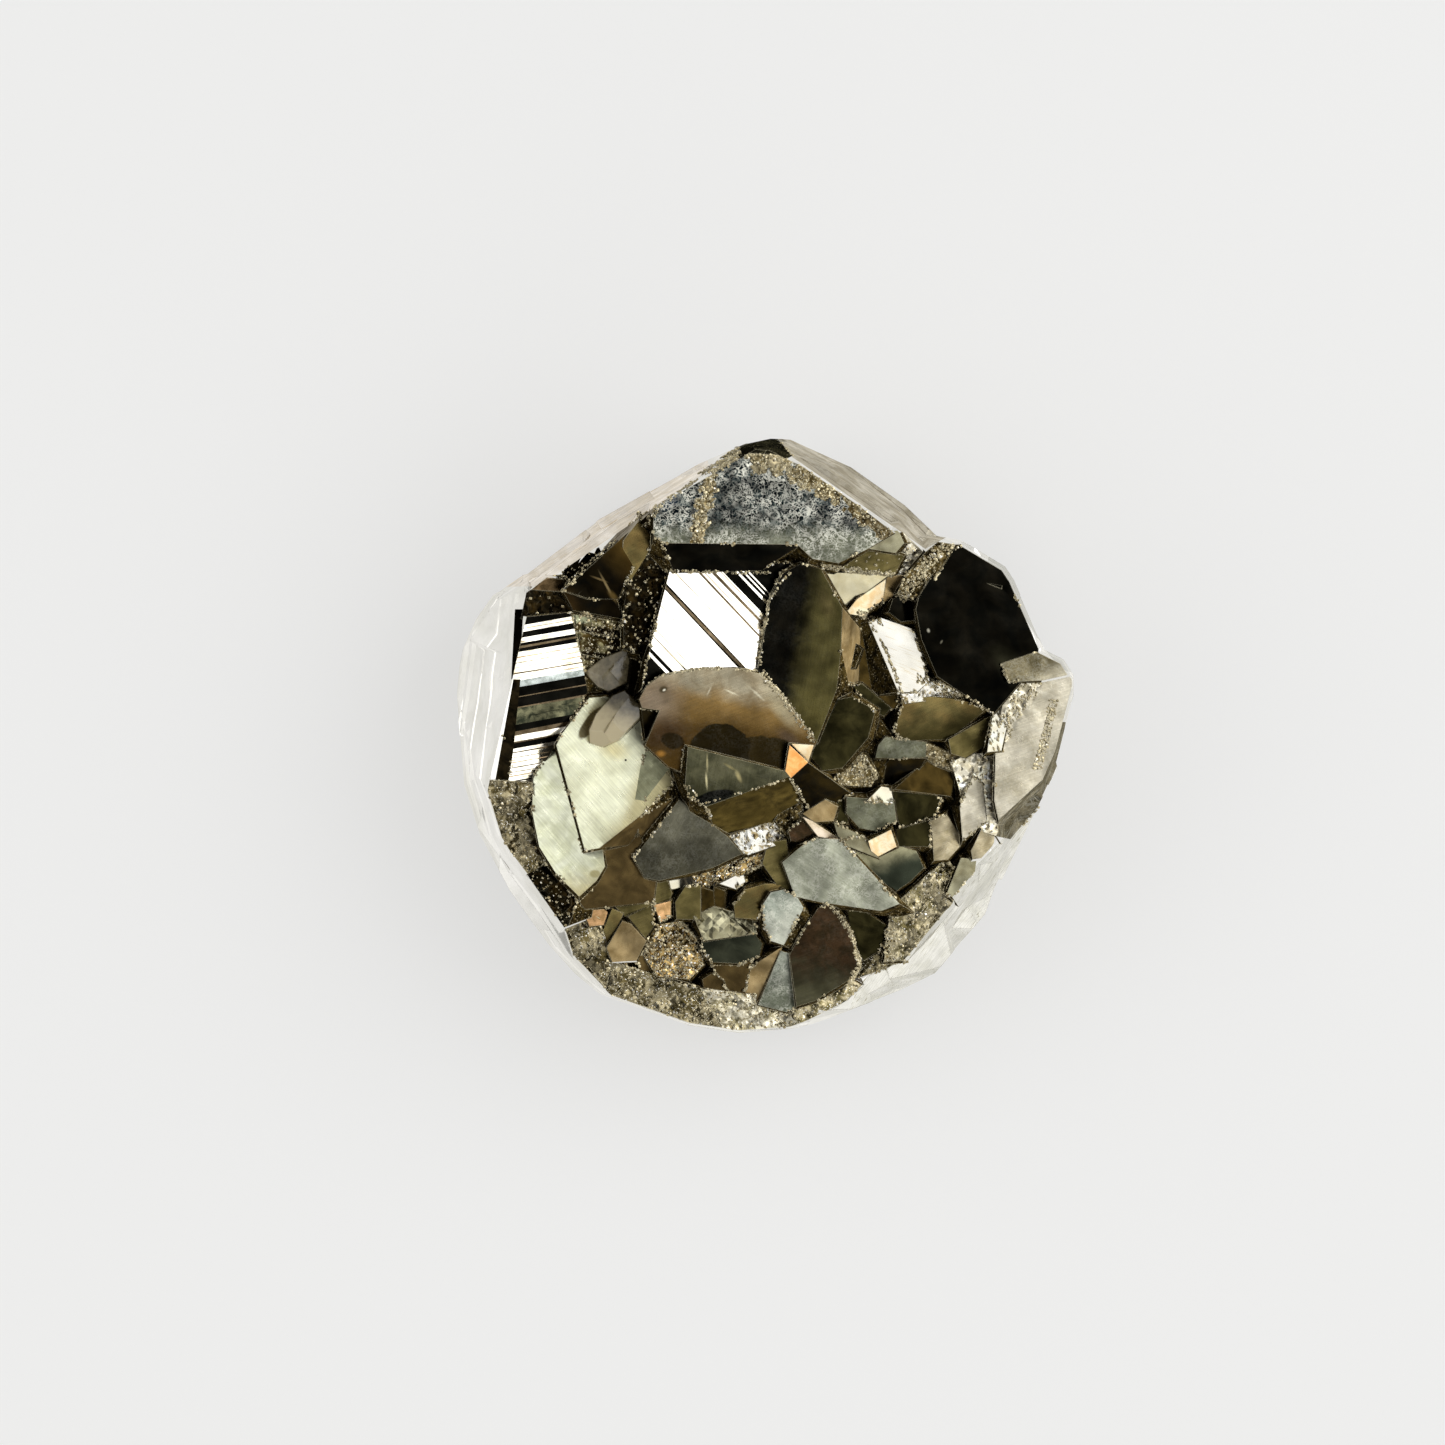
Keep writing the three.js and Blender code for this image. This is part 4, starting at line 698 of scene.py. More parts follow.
# The brown dome's fades, darker towards its foot, are a painted reflection gradient; its two large
# hard-edged dark marks at the foot are a painted reflection of a dark hump, and the tiny near-white mark in
# the ring at its left is a painted glint
DOME = Finish(
    "dome_brown", (158, 149, 126), (132, 120, 96), patch=1.6, roughness=0.24,
    texture=Texture.SCRATCHED, felt=0.015, play=0.15,
    fades=(Fade((-2.6, 3.7), (-2.9, 2.0), (116, 92, 52)), Fade((-2.6, 1.9), (-2.9, 0.0), (66, 49, 21))),
    marks=(Mark((-7.7, 2.3), (3.0, 2.6), (118, 104, 86), turn=20, softness=0.9),
           Mark((-7.0, 0.2), (2.1, 1.7), (62, 46, 28), turn=20, softness=0.9),
           Mark((1.2, 1.7), (2.4, 0.8), (150, 141, 114), turn=-50, softness=0.9, share=0.8),
           Mark((1.6, -0.2), (1.3, 0.7), (86, 70, 52), turn=-40, softness=0.9),
           Mark((-0.6, 2.9), (0.9, 0.14), (186, 178, 154), turn=-42, softness=0.9),
           Mark((-2.4, 3.0), (0.7, 0.1), (186, 178, 154), turn=-24, softness=0.9),
           Mark((-3.9, 3.1), (0.5, 0.1), (180, 170, 146), turn=62, softness=0.9),
           Mark((-0.2, -1.6), (3.3, 1.6), (40, 32, 14), turn=-3, softness=0.12),
           Mark((-3.1, -1.15), (2.2, 2.1), (30, 24, 10), turn=-8, softness=0.06),
           Mark((-6.5, -0.4), (0.9, 0.62), (34, 26, 12), turn=-15, softness=0.25),
           Mark((-7.3, -1.3), (0.5, 0.35), (140, 100, 44), softness=0.9),
           Mark((-7.1, 3.2), (0.4, 0.3), (70, 60, 40), turn=30, softness=0.6),
           Mark((-7.05, 3.15), (0.18, 0.12), (240, 234, 214), turn=30, softness=0.9)))
# The slate quad's fade, darker towards its lower left, is painted shade
QUAD = Finish(
    "quad_slate", (88, 86, 64), (58, 58, 42), roughness=0.28, turn=80, play=0.2,
    texture=Texture.SCRATCHED, felt=0.02, fades=(Fade((-3.6, -1.6), (-4.3, -4.4), (52, 51, 34)),),
    marks=(Mark((-4.05, -1.9), (0.11, 0.9), (150, 142, 106), softness=0.9),
           Mark((-4.1, -3.2), (0.12, 0.8), (178, 170, 132), turn=4, softness=0.9),
           Mark((-2.5, -2.2), (0.13, 0.6), (124, 116, 80), turn=60, softness=0.9),
           Mark((-1.85, -2.9), (0.22, 0.6), (150, 140, 100), turn=24, softness=0.9),
           Mark((-3.55, -4.3), (1.7, 0.5), BLACK, turn=14, softness=0.25)))
QUAD_FRONT = replace(BROWN_MIRROR, name="quad_front", tint=(88, 74, 36), shade=(46, 38, 18), patch=2.2)
FLANK_CAP = replace(PALE_BEIGE, name="flank_cap", tint=(128, 119, 92), shade=(92, 84, 60),
                    fades=(Fade((19.2, 4.9), (20.4, 3.2), (196, 188, 164)),))
FLANK_CRUST = replace(PALE_CRUST, name="flank_crust", tint=(250, 243, 222), shade=(206, 196, 168))
# A darker copy of the flank's finish for its bevelled lower right edge: painted shade
FLANK_BEVEL_PAINTED_SHADE = replace(PALE_BEIGE, name="flank_bevel_painted_shade", tint=(116, 108, 86), shade=(66, 60, 42),
                      patch=0.9)
BANK_EDGE = Finish("bank_edge", (34, 28, 16), (12, 10, 6), patch=0.6, roughness=0.24)
FLANK = replace(PALE_BEIGE, name="flank_beige", tint=(202, 195, 176), shade=(166, 158, 136), patch=2.4)
# On the pale face, the dark oval at its upper left edge is a painted shadow that the quartz crystals cast
PALE_GREEN = Finish(
    "pale_green", (226, 227, 200), (206, 206, 176), patch=2.0, roughness=0.34, turn=-48,
    texture=Texture.BRUSHED, depth=0.005, play=0.1,
    marks=(Mark((-10.6, -1.0), (1.6, 1.0), (216, 204, 152), turn=-20, softness=0.9, share=0.7),
           Mark((-12.1, 0.9), (0.55, 1.5), (96, 88, 64), turn=-37, softness=0.2),
           Mark((-9.75, -1.75), (0.1, 0.1), INK, softness=0.5)),
    fades=(Fade((-9.9, -3.2), (-8.4, -3.9), (176, 168, 130)),
           Fade((-8.3, -4.4), (-6.9, -5.2), (92, 84, 50))))
# A darker copy of the pale face's finish: a painted shadow that the crystals to its right cast on it
PALE_GREEN_PAINTED_SHADOW = Finish("pale_green_painted_shadow", (134, 135, 110), (112, 112, 88), patch=1.2, roughness=0.34,
                      turn=-48, texture=Texture.BRUSHED, depth=0.005, play=0.1)
PALE_FLANK = replace(PALE_GREEN, name="pale_green_flank", tint=(234, 236, 212), shade=(212, 214, 182),
                     marks=(Mark((-11.9, -9.7), (0.5, 0.35), (176, 168, 126), softness=0.5),),
                     fades=(Fade((-13.2, -8.8), (-12.6, -11.2), (190, 180, 136)),), facing=Facing.LEFT)
BLACK_RIGHT = replace(BLACK_MIRROR, name="black_right", marks=(
    Mark((11.4, 7.3), (0.16, 0.22), (170, 166, 150), turn=20, softness=0.8),
    Mark((12.3, 6.5), (0.2, 0.1), (120, 116, 100), turn=60, softness=0.8),
    Mark((16.6, 5.4), (1.6, 1.1), (30, 29, 20), turn=-30, softness=0.8)))
PEAK = replace(OLIVE_SATIN, name="dark_peak", tint=(44, 42, 28), shade=BLACK, turn=35,
               lines=(112, 106, 78))
MAROON_FADED = replace(MAROON, name="maroon_faded", fades=(
    Fade((3.2, -14.6), (2.6, -17.8), (62, 60, 44)),))
# The domed facet's fade, darker towards its lower end, is a painted reflection gradient
DOMED = Finish("domed_olive", (138, 134, 106), (100, 97, 72), roughness=0.26, fades=(
    Fade((8.2, -8.0), (8.9, -9.6), (46, 50, 40)),))
# The olive facet's fade, darker towards its lower end, is a painted reflection gradient
OLIVE_FACE = replace(OLIVE_GOLD, name="olive_face", fades=(
    Fade((11.0, 2.2), (11.6, -0.2), (48, 43, 22)),))
BLACK_STRIPE = Finish("stripe_black", (22, 21, 17), BLACK, roughness=0.2, play=0.2)
GREY_STRIPE = Finish("stripe_grey", (128, 112, 88), (96, 82, 60), patch=0.5, roughness=0.22)
BLUE_STRIPE = Finish("stripe_blue", (206, 214, 210), (150, 158, 152), patch=0.5, roughness=0.22)
RUST_STRIPE = Finish("stripe_rust", (188, 150, 106), STRAW, roughness=0.2)
OLIVE_STRIPE = Finish("stripe_olive", (122, 120, 92), (48, 52, 40), patch=0.6, roughness=0.24,
                      texture=Texture.BRUSHED, turn=10, lines=(30, 32, 24))
STRIPED = replace(BRIGHT, name="striped_bright", turn=-46, lines=(214, 190, 160))
BANK = replace(BRIGHT, name="bank_bright", tint=(248, 244, 232), shade=(196, 189, 164), patch=0.9,
               balance=0.35, turn=10, lines=(120, 100, 66), play=0.2)


@dataclass(frozen=True)
class Stripe:
    """One band of a striated face.

    Attributes:
        start: Where it starts, along the banding's direction.
        end: Where it ends.
        finish: What it looks like.
    """

    start: float
    end: float
    finish: Finish


@dataclass(frozen=True)
class Banding:
    """The striations of a face.

    Attributes:
        turn: The direction across the stripes, in degrees.
        stripes: The bands that differ from the face itself.
        depth: How far every other cut line is pressed in.
        wander: How many degrees a line may be off the stripes' direction.
    """

    turn: float
    stripes: tuple[Stripe, ...]
    depth: float = 0.03
    wander: float = 0.7

    def across(self, point: Vector) -> float:
        """How far along the banding a point is, in millimetres."""
        return point.dot(heading(self.turn)) / MM

    def finish_at(self, point: Vector, plain: Finish) -> Finish:
        """The finish of the band that a point is in.

        Args:
            point: A point on the face.
            plain: What the face itself looks like.

        Returns:
            The band's finish, or the plain one.
        """
        place = self.across(point)
        return next((band.finish for band in self.stripes if band.start <= place < band.end), plain)


@dataclass(frozen=True)
class Relief:
    """Real unevenness of a face.

    Attributes:
        step: The spacing of the grid that the face is cut by.
        height: How far the surface rises and falls.
        lump: The size of its lumps.
        sharp: Whether its small faces stay flat.
    """

    step: float
    height: float
    lump: float
    sharp: bool = False


# How much finer than the lumps of a relief the lumps on them are
FINER = 2.3
GENTLE = Relief(0.9, 0.03, 3.0)
WAVY = Relief(0.6, 0.06, 1.6)
RUGGED = Relief(0.26, 0.11, 0.55, sharp=True)
CRAGGY = Relief(0.34, 0.34, 1.15, sharp=True)


@dataclass(frozen=True)
class Facet:
    """A crystal's face, found under a point of the plan, or the part of the surface inside an outline.

    Attributes:
        name: The crystal.
        at: A point on the face, in the plan.
        finish: What it looks like.
        relief: Its unevenness, if it has any.
        banding: Its striations, if it has any.
        grains: Crust grains on it, for each square millimetre.
        outline: The convex outline of the part, in the plan, if it isn't a whole face.
    """

    name: str
    at: Plan
    finish: Finish
    relief: Relief | None = None
    banding: Banding | None = None
    grains: float = 0.0
    outline: tuple[Plan, ...] = ()


STRIPED_BANDS = Banding(43.8, (
    Stripe(-9.0, -2.0, BLACK_STRIPE), Stripe(-1.8, -1.55, BLACK_STRIPE), Stripe(-0.9, -0.8, RUST_STRIPE),
    Stripe(-0.45, -0.4, RUST_STRIPE), Stripe(0.95, 0.99, RUST_STRIPE), Stripe(1.94, 2.04, BLACK_STRIPE),
    Stripe(2.04, 2.22, GREY_STRIPE), Stripe(2.22, 2.32, BLACK_STRIPE), Stripe(3.3, 3.34, RUST_STRIPE),
    Stripe(4.45, 4.6, GREY_STRIPE), Stripe(4.78, 4.84, RUST_STRIPE), Stripe(5.15, 5.36, GREY_STRIPE),
    Stripe(5.6, 5.68, RUST_STRIPE), Stripe(5.75, 6.4, BLACK_STRIPE), Stripe(6.55, 6.75, BLACK_STRIPE),
    Stripe(6.85, 7.0, BLACK_STRIPE), Stripe(7.1, 12.0, BLACK_STRIPE)))
BANK_BANDS = Banding(100, (
    Stripe(-2.0, -0.95, GREY_STRIPE), Stripe(-0.78, -0.7, BLACK_STRIPE), Stripe(-0.5, -0.44, GREY_STRIPE),
    Stripe(-0.2, -0.1, BLACK_STRIPE), Stripe(0.2, 0.26, RUST_STRIPE), Stripe(0.48, 0.52, GREY_STRIPE),
    Stripe(0.76, 0.84, GREY_STRIPE), Stripe(1.14, 1.2, RUST_STRIPE), Stripe(1.44, 1.5, GREY_STRIPE),
    Stripe(1.78, 1.9, GREY_STRIPE), Stripe(2.12, 2.5, BLACK_STRIPE), Stripe(2.5, 2.6, GREY_STRIPE),
    Stripe(3.0, 3.3, GREY_STRIPE), Stripe(3.3, 3.75, BLACK_STRIPE), Stripe(3.75, 4.85, OLIVE_STRIPE),
    Stripe(4.85, 4.95, GREY_STRIPE), Stripe(4.95, 5.6, BLACK_STRIPE), Stripe(5.6, 5.66, GREY_STRIPE),
    Stripe(5.66, 6.3, BLACK_STRIPE), Stripe(6.3, 6.75, BLUE_STRIPE), Stripe(6.92, 6.97, RUST_STRIPE),
    Stripe(7.2, 7.3, GREY_STRIPE), Stripe(7.62, 7.68, RUST_STRIPE), Stripe(7.95, 8.0, GREY_STRIPE),
    Stripe(8.3, 8.36, RUST_STRIPE), Stripe(8.7, 8.95, BLACK_STRIPE), Stripe(8.95, 9.1, GREY_STRIPE),
    Stripe(9.1, 9.3, BLACK_STRIPE), Stripe(9.65, 10.05, BLACK_STRIPE), Stripe(10.25, 10.31, RUST_STRIPE),
    Stripe(10.5, 12.0, BLACK_STRIPE)))

# A row's number decides how the patterns fall on it, so rows stay where they are, the two that meet no
# face of their own too, and new ones go to the end
FACETS = (
    Facet("crown top", (-3.5, 16.5), CROWN_SLATE, GENTLE),
    Facet("crown tail", (7.9, 12.0), OLIVE_SATIN, grains=4),
    Facet("crown barb", (8.7, 13.5), GREY_TAN),
    Facet("crown front", (-2.1, 12.3), BLACK_MIRROR, GENTLE),
    Facet("black shoulder", (-11.3, 11.3), SHOULDER, GENTLE),
    Facet("olive shoulder", (-8.9, 13.3), OLIVE_GOLD),
    Facet("brown shoulder", (-12.0, 9.3), SHOULDER),
    Facet("shoulder bevel", (-12.6, 11.4), SHOULDER),
    Facet("shoulder lip", (-15.6, 10.5), LIP, WAVY),
    Facet("pitted patch", (-15.4, 9.0), DARK_CRUST, RUGGED, grains=1),
    Facet("crusty column", (-8.5, 9.5), DARK_CRUST, RUGGED, grains=5),
    Facet("brown gully", (-9.0, 3.9), BROWN_MIRROR),
    Facet("striated bank", (-15.3, 3.0), BANK, banding=BANK_BANDS),
    Facet("high ledge", (-11.6, 8.0), LEDGE, RUGGED, grains=6),
    Facet("middle ledge", (-11.6, 6.3), LEDGE, RUGGED, grains=6),
    Facet("low ledge", (-12.2, 4.5), SANDY, RUGGED, grains=10),
    Facet("left rim", (-17.6, -5.2), MID_RIM, CRAGGY, grains=5),
    Facet("low left rim", (-15.2, -10.4), DARK_CRUST, CRAGGY, grains=6),
    Facet("pale face", (-9.5, -3.0), PALE_GREEN, GENTLE),
    Facet("pale flank", (-13.8, -6.0), PALE_FLANK, GENTLE),
    Facet("striped face", (-3.0, 8.0), STRIPED, banding=STRIPED_BANDS),
    Facet("tall dark face", (2.6, 6.0), TALL_DARK, GENTLE),
    Facet("brown dome", (-3.5, 1.0), DOME),
    Facet("dark wedge", (-8.0, 1.2), DARK_BROWN),
    Facet("slate quad", (-2.8, -2.6), QUAD),
    Facet("quad front", (-1.4, -4.6), QUAD_FRONT),
    Facet("copper tip back", (2.8, -1.0), PEACH),
    Facet("copper tip front", (2.0, -1.9), COPPER),
    Facet("black face", (14.5, 7.5), BLACK_RIGHT, GENTLE),
    Facet("black corner", (16.2, 10.47), BLACK_MIRROR),
    Facet("sandy ridge", (11.3, 11.9), BROWN_CRUST, RUGGED, grains=12),
    Facet("crusty spur", (11.5, 3.15), SPARKLING, RUGGED, grains=10),
    Facet("small black face", (9.5, 8.9), BLACK_MIRROR),
    Facet("peach saddle", (10.3, 12.6), FLANK_CRUST, RUGGED, grains=8),
    Facet("bright window", (9.6, 5.5), WINDOW),
    Facet("pale triangle", (6.3, 10.7), CREAM),
    Facet("peach blade", (7.3, 9.4), PEACH),
    Facet("olive corner", (8.9, 10.4), TAN),
    Facet("gold gully", (7.0, 5.2), BROWN_MIRROR),
    Facet("gully shard", (5.9, 5.6), TAN),
    Facet("gully rib", (7.4, 2.7), DARK_OLIVE),
    Facet("flank cap", (19.2, 4.7), FLANK_CAP, WAVY),
    Facet("flank face", (18.6, 0.0), FLANK, WAVY),
    Facet("flank edge", (16.4, 1.0), PALE_CREAM, WAVY, grains=8),
    Facet("dark column", (5.3, 0.4), DARK_OLIVE),
    Facet("olive facet", (12.2, 1.2), OLIVE_FACE),
    Facet("grey olive facet", (14.5, 0.0), OLIVE_SATIN),
    Facet("slate strip", (9.7, -0.9), SLATE),
    Facet("brown eave", (9.4, -2.5), DARK_BROWN),
    Facet("olive furrow", (7.8, -1.0), DARK_OLIVE),
    Facet("brown roof", (11.8, -3.0), BROWN_MIRROR),
    Facet("dark roof", (10.8, -4.8), DARK_OLIVE),
    Facet("bright cap", (8.2, -4.2), PALE_CREAM),
    Facet("slate hood", (7.6, -5.5), SLATE),
    Facet("hood side", (5.3, -5.0), DARK_OLIVE),
    Facet("peach prow", (8.1, -7.6), PEACH),
    Facet("pink blade", (6.4, -7.5), GREY_TAN),
    Facet("pink sliver", (4.0, -6.6), PINK),
    Facet("domed facet", (9.2, -9.0), DOMED, GENTLE),
    Facet("olive brick", (10.4, -7.0), DARK_OLIVE),
    Facet("beige brick", (12.6, -7.3), BEIGE),
    Facet("pale lath", (14.6, -4.8), PALE_BEIGE),
    Facet("pale lath foot", (15.2, -7.5), BEIGE),
    Facet("beige foot", (13.7, -9.8), GREY_TAN),
    Facet("grey wedge", (3.9, -5.4), TAN),
    Facet("maroon tooth", (2.5, -6.8), MAROON),
    Facet("crusty knob", (6.0, -2.7), SANDY, RUGGED, grains=24),
    Facet("dark saddle", (2.7, -3.5), DARK_BROWN),
    Facet("low dark saddle", (1.7, -5.4), BROWN_CRUST, RUGGED, grains=4),
    Facet("sandy shelf", (15.8, -2.5), FLANK_CRUST, RUGGED, grains=6),
    Facet("sandy foot", (12.5, -1.4), SANDY, RUGGED, grains=12),
    Facet("sandy slope", (11.2, -12.3), RIM, CRAGGY, grains=12),
    Facet("grey quad", (-5.6, -7.8), GREY_SATIN, GENTLE),
    Facet("mauve face", (-10.0, -9.5), MAUVE, GENTLE),
    Facet("dark notch", (-9.8, -6.5), MAUVE),
    Facet("bright band", (-0.5, -7.3), SPARKLING, RUGGED, grains=6),
    Facet("gold nugget", (-2.4, -9.1), NUGGET, CRAGGY, grains=20),
    Facet("dark leaf", (1.0, -8.9), OLIVE_SATIN),
    Facet("pale slab", (4.8, -9.6), PALE_SLATE, GENTLE),
    Facet("slate hexagon", (1.0, -12.5), BLUE_SLATE),
    Facet("olive lozenge", (-0.8, -11.6), OLIVE_GOLD),
    Facet("small dark facet", (-7.2, -11.0), OLIVE_SATIN),
    Facet("peach chip", (-7.1, -12.3), DULL_COPPER),
    Facet("olive block", (-5.4, -11.8), OLIVE_SATIN),
    Facet("brown block", (-4.0, -11.6), BROWN_MIRROR),
    Facet("dark block", (-3.2, -11.6), BROWN_MIRROR),
    Facet("left sparkling chip", (-6.0, -10.2), PALE_CREAM),
    Facet("right sparkling chip", (-2.2, -10.2), WINDOW),
    Facet("pale fringe", (-2.8, -13.1), GREY_TAN, CRAGGY),
    Facet("slate tablet", (-2.3, -14.9), DARK_SLATE),
    Facet("tan facet", (-0.5, -17.1), TAN),
    Facet("pale wedge", (1.3, -17.5), WEDGE_SLATE),
    Facet("maroon face", (4.2, -15.4), MAROON_FADED, GENTLE),
    Facet("olive sliver", (7.2, -14.0), DARK_OLIVE),
    Facet("mauve chip", (-3.5, -17.4), MAUVE),
    Facet("dark apron", (-2.3, -16.8), MAUVE),
    Facet("taupe facet", (-9.9, -14.5), TAN),
    Facet("brown rib", (-10.9, -13.6), OLIVE_GOLD),
    Facet("taupe wing", (-8.4, -15.8), MAUVE),
    Facet("olive chip", (-9.2, -12.2), OLIVE_SATIN),
    Facet("grey brown chip", (-8.5, -12.9), OLIVE_SATIN),
    Facet("copper chip", (-11.8, -12.7), DULL_COPPER),
    Facet("sparkling patch", (-6.4, -15.2), NUGGET, CRAGGY, grains=20),
    Facet("left front rim", (-12.3, -15.0), MID_RIM, CRAGGY, grains=8),
    Facet("middle front rim", (-7.8, -18.2), MID_RIM, CRAGGY, grains=10),
    Facet("front rim", (-1.4, -19.7), PALE_RIM, CRAGGY, grains=10),
    Facet("right front rim", (4.3, -18.5), RIM, CRAGGY, grains=8),
    Facet("low right rim", (7.8, -16.3), DARK_RIM, CRAGGY, grains=8),
    Facet("crown crust left", (-3.3, 18.6), SANDY, RUGGED, grains=28, outline=(
        (-4.6, 18.4), (-1.9, 20.2), (-1.0, 18.1), (-3.4, 17.7))),
    Facet("crown crust top", (0.7, 19.0), HALF_CRUST, RUGGED, grains=28, outline=(
        (-1.9, 20.2), (0.7, 20.8), (2.9, 19.4), (1.2, 17.9), (-1.0, 18.1))),
    Facet("crown crust right", (3.4, 17.8), SANDY, RUGGED, grains=28, outline=(
        (2.6, 19.8), (6.8, 16.9), (5.0, 15.9), (1.2, 17.9))),
    Facet("crown crust corner", (6.8, 15.3), EARTHY, RUGGED, grains=16, outline=(
        (6.6, 17.1), (10.3, 13.9), (7.9, 13.6), (4.9, 16.0))),
    Facet("crown crust band", (-4.5, 15.8), SANDY, RUGGED, grains=34, outline=(
        (-4.4, 18.5), (-2.9, 18.1), (-4.3, 13.0), (-5.7, 13.0))),
    Facet("dark peak", (-0.2, 20.45), PEAK, outline=(
        (-3.2, 19.4), (-0.2, 21.2), (0.7, 21.0), (1.9, 19.5), (1.0, 19.0))),
    Facet("low selvage", (-18.3, -1.0), WALL, outline=(
        (-20.2, -4.4), (-19.1, -4.4), (-17.55, 4.2), (-19.2, 4.2))),
    Facet("high selvage", (-17.1, 5.5), WALL, outline=(
        (-19.2, 4.2), (-17.65, 4.2), (-17.4, 8.8), (-18.6, 8.8))),
    Facet("bank edge", (-17.7, 0.0), BANK_EDGE, outline=(
        (-17.65, 3.9), (-17.1, 3.9), (-17.6, -1.0), (-18.1, -4.2), (-19.1, -4.2))),
    Facet("high bank edge", (-17.3, 6.0), BANK_EDGE, outline=(
        (-17.75, 3.9), (-17.15, 3.9), (-16.9, 8.8), (-17.5, 8.8))),
    Facet("flank crust", (17.2, 2.6), FLANK_CRUST, RUGGED, grains=26, outline=(
        (16.7, 3.6), (19.8, 4.1), (19.0, 2.8), (16.9, -1.8), (16.4, -1.6))),
    # Painted shade along the flank's bevelled lower right edge
    Facet("flank bevel", (20.1, -2.9), FLANK_BEVEL_PAINTED_SHADE, outline=(
        (19.9, 1.0), (21.1, 0.9), (20.5, -2.1), (19.3, -4.8), (17.2, -7.3), (15.8, -7.0), (15.8, -4.5))),
    Facet("right wall", (18.9, 6.65), WALL_PALE, outline=(
        (16.5, 15.0), (20.0, 14.0), (23.0, 4.0), (20.6, 4.6), (15.5, 12.0))),
    Facet("ledge crust", (-13.0, 6.2), LEDGE, RUGGED, grains=14, outline=(
        (-13.8, 8.6), (-12.2, 8.6), (-11.6, 4.0), (-13.3, 3.8))),
    # A painted shadow cast by the crystals to the right of the pale face
    Facet("painted shadow on pale face", (-8.0, -2.4), PALE_GREEN_PAINTED_SHADOW, outline=(
        (-8.25, -0.8), (-6.6, -2.2), (-8.45, -4.6), (-9.1, -4.5), (-8.7, -2.1))),
    Facet("streaked wall", (6.65, 17.85), WALL_STREAKED, outline=(
        (0.6, 21.2), (2.6, 21.4), (14.0, 14.6), (11.2, 13.0), (1.9, 19.4))),
    Facet("rosy wall", (-12.6, 14.0), WALL_ROSY, outline=(
        (-18.6, 10.4), (-17.6, 12.4), (-4.4, 20.2), (-3.8, 18.6), (-15.8, 10.4))),
    Facet("shoulder side", (-13.3, 10.99), DARK_CRUST, RUGGED, grains=5, outline=(
        (-15.3, 10.9), (-14.4, 11.75), (-10.4, 13.75), (-10.0, 13.3), (-13.6, 9.0))),
    Facet("streaked side", (-10.15, 13.86), SIDE_GREY, outline=(
        (-11.3, 13.1), (-6.8, 18.0), (-6.2, 17.6), (-8.7, 14.4), (-10.7, 12.3))),
    Facet("low right wall", (12.0, -16.4), WALL_LINED, outline=(
        (5.2, -21.0), (6.6, -17.5), (20.0, -3.8), (22.4, -3.8), (19.3, -12.3), (11.5, -20.0))),
)


@dataclass(frozen=True)
class Seam:
    """A line of crust along a seam between crystals.

    Attributes:
        name: Where it runs.
        line: Its course in the plan.
        width: How wide it is.
        grains: Grains for each square millimetre.
    """

    name: str
    line: tuple[Plan, ...]
    width: float
    grains: float = 40.0


SEAMS = (
    Seam("dome edge", ((-0.3, 4.4), (1.4, 2.4), (3.5, -0.5)), 0.45),
    Seam("dome top", ((-7.2, 4.2), (-4.5, 4.65), (-0.5, 4.5)), 0.14),
    Seam("tall face edge", ((1.75, 11.4), (0.3, 9.5), (-0.2, 7.0), (-0.35, 4.8)), 0.16),
    Seam("crown left edge", ((-8.4, 14.5), (-7.5, 15.9), (-4.2, 18.4)), 0.4),
    Seam("crown foot", ((-7.2, 11.5), (-3.0, 11.4), (0.6, 11.3)), 0.2),
    Seam("ridge foot", ((9.45, 9.45), (11.0, 11.6), (12.95, 13.5)), 0.7),
    Seam("window foot", ((10.6, 3.9), (12.2, 3.5), (13.9, 2.4)), 0.6),
    Seam("window edge", ((7.3, 7.9), (8.6, 5.6), (9.5, 3.2)), 0.2),
    Seam("blade foot", ((6.4, 8.6), (7.3, 8.2), (8.3, 7.8)), 0.4),
    Seam("tail foot", ((3.9, 11.8), (6.4, 11.5), (9.0, 11.2)), 0.35),
    Seam("maroon edge", ((4.6, -12.0), (6.0, -13.8), (6.6, -16.0), (5.9, -17.3)), 0.35),
    Seam("flank grains", ((20.2, 2.6), (19.7, 0.2), (19.0, -2.5)), 0.6, 55),
    Seam("quad edge", ((-5.5, -3.3), (-4.3, -4.8), (1.4, -3.1)), 0.1),
)


def cut(mesh: BMesh, faces: Iterable[BMFace], point: Vector,
        normal: Vector) -> tuple[list[BMFace], list[BMVert]]:
    """Cuts some of a mesh's faces by a plane and leaves them joined.

    Args:
        mesh: The mesh.
        faces: The faces to cut.
        point: A point of the plane.
        normal: The way it faces.

    Returns:
        The faces that are there now, and the corners on the cut.
    """
    chosen = list(faces)
    parts = {part for face in chosen for part in (face, *face.edges, *face.verts)}
    made = bmesh.ops.bisect_plane(mesh, geom=list(parts), dist=ON_CUT, plane_co=point, plane_no=normal)
    after = [part for part in made["geom"] if isinstance(part, BMFace)]
    return after, [part for part in made["geom_cut"] if isinstance(part, BMVert)]


def mesh_middle(faces: Sequence[BMFace]) -> Vector:
    """The mean of some faces' centres."""
    return sum((face.calc_center_median() for face in faces), Vector()) / len(faces)


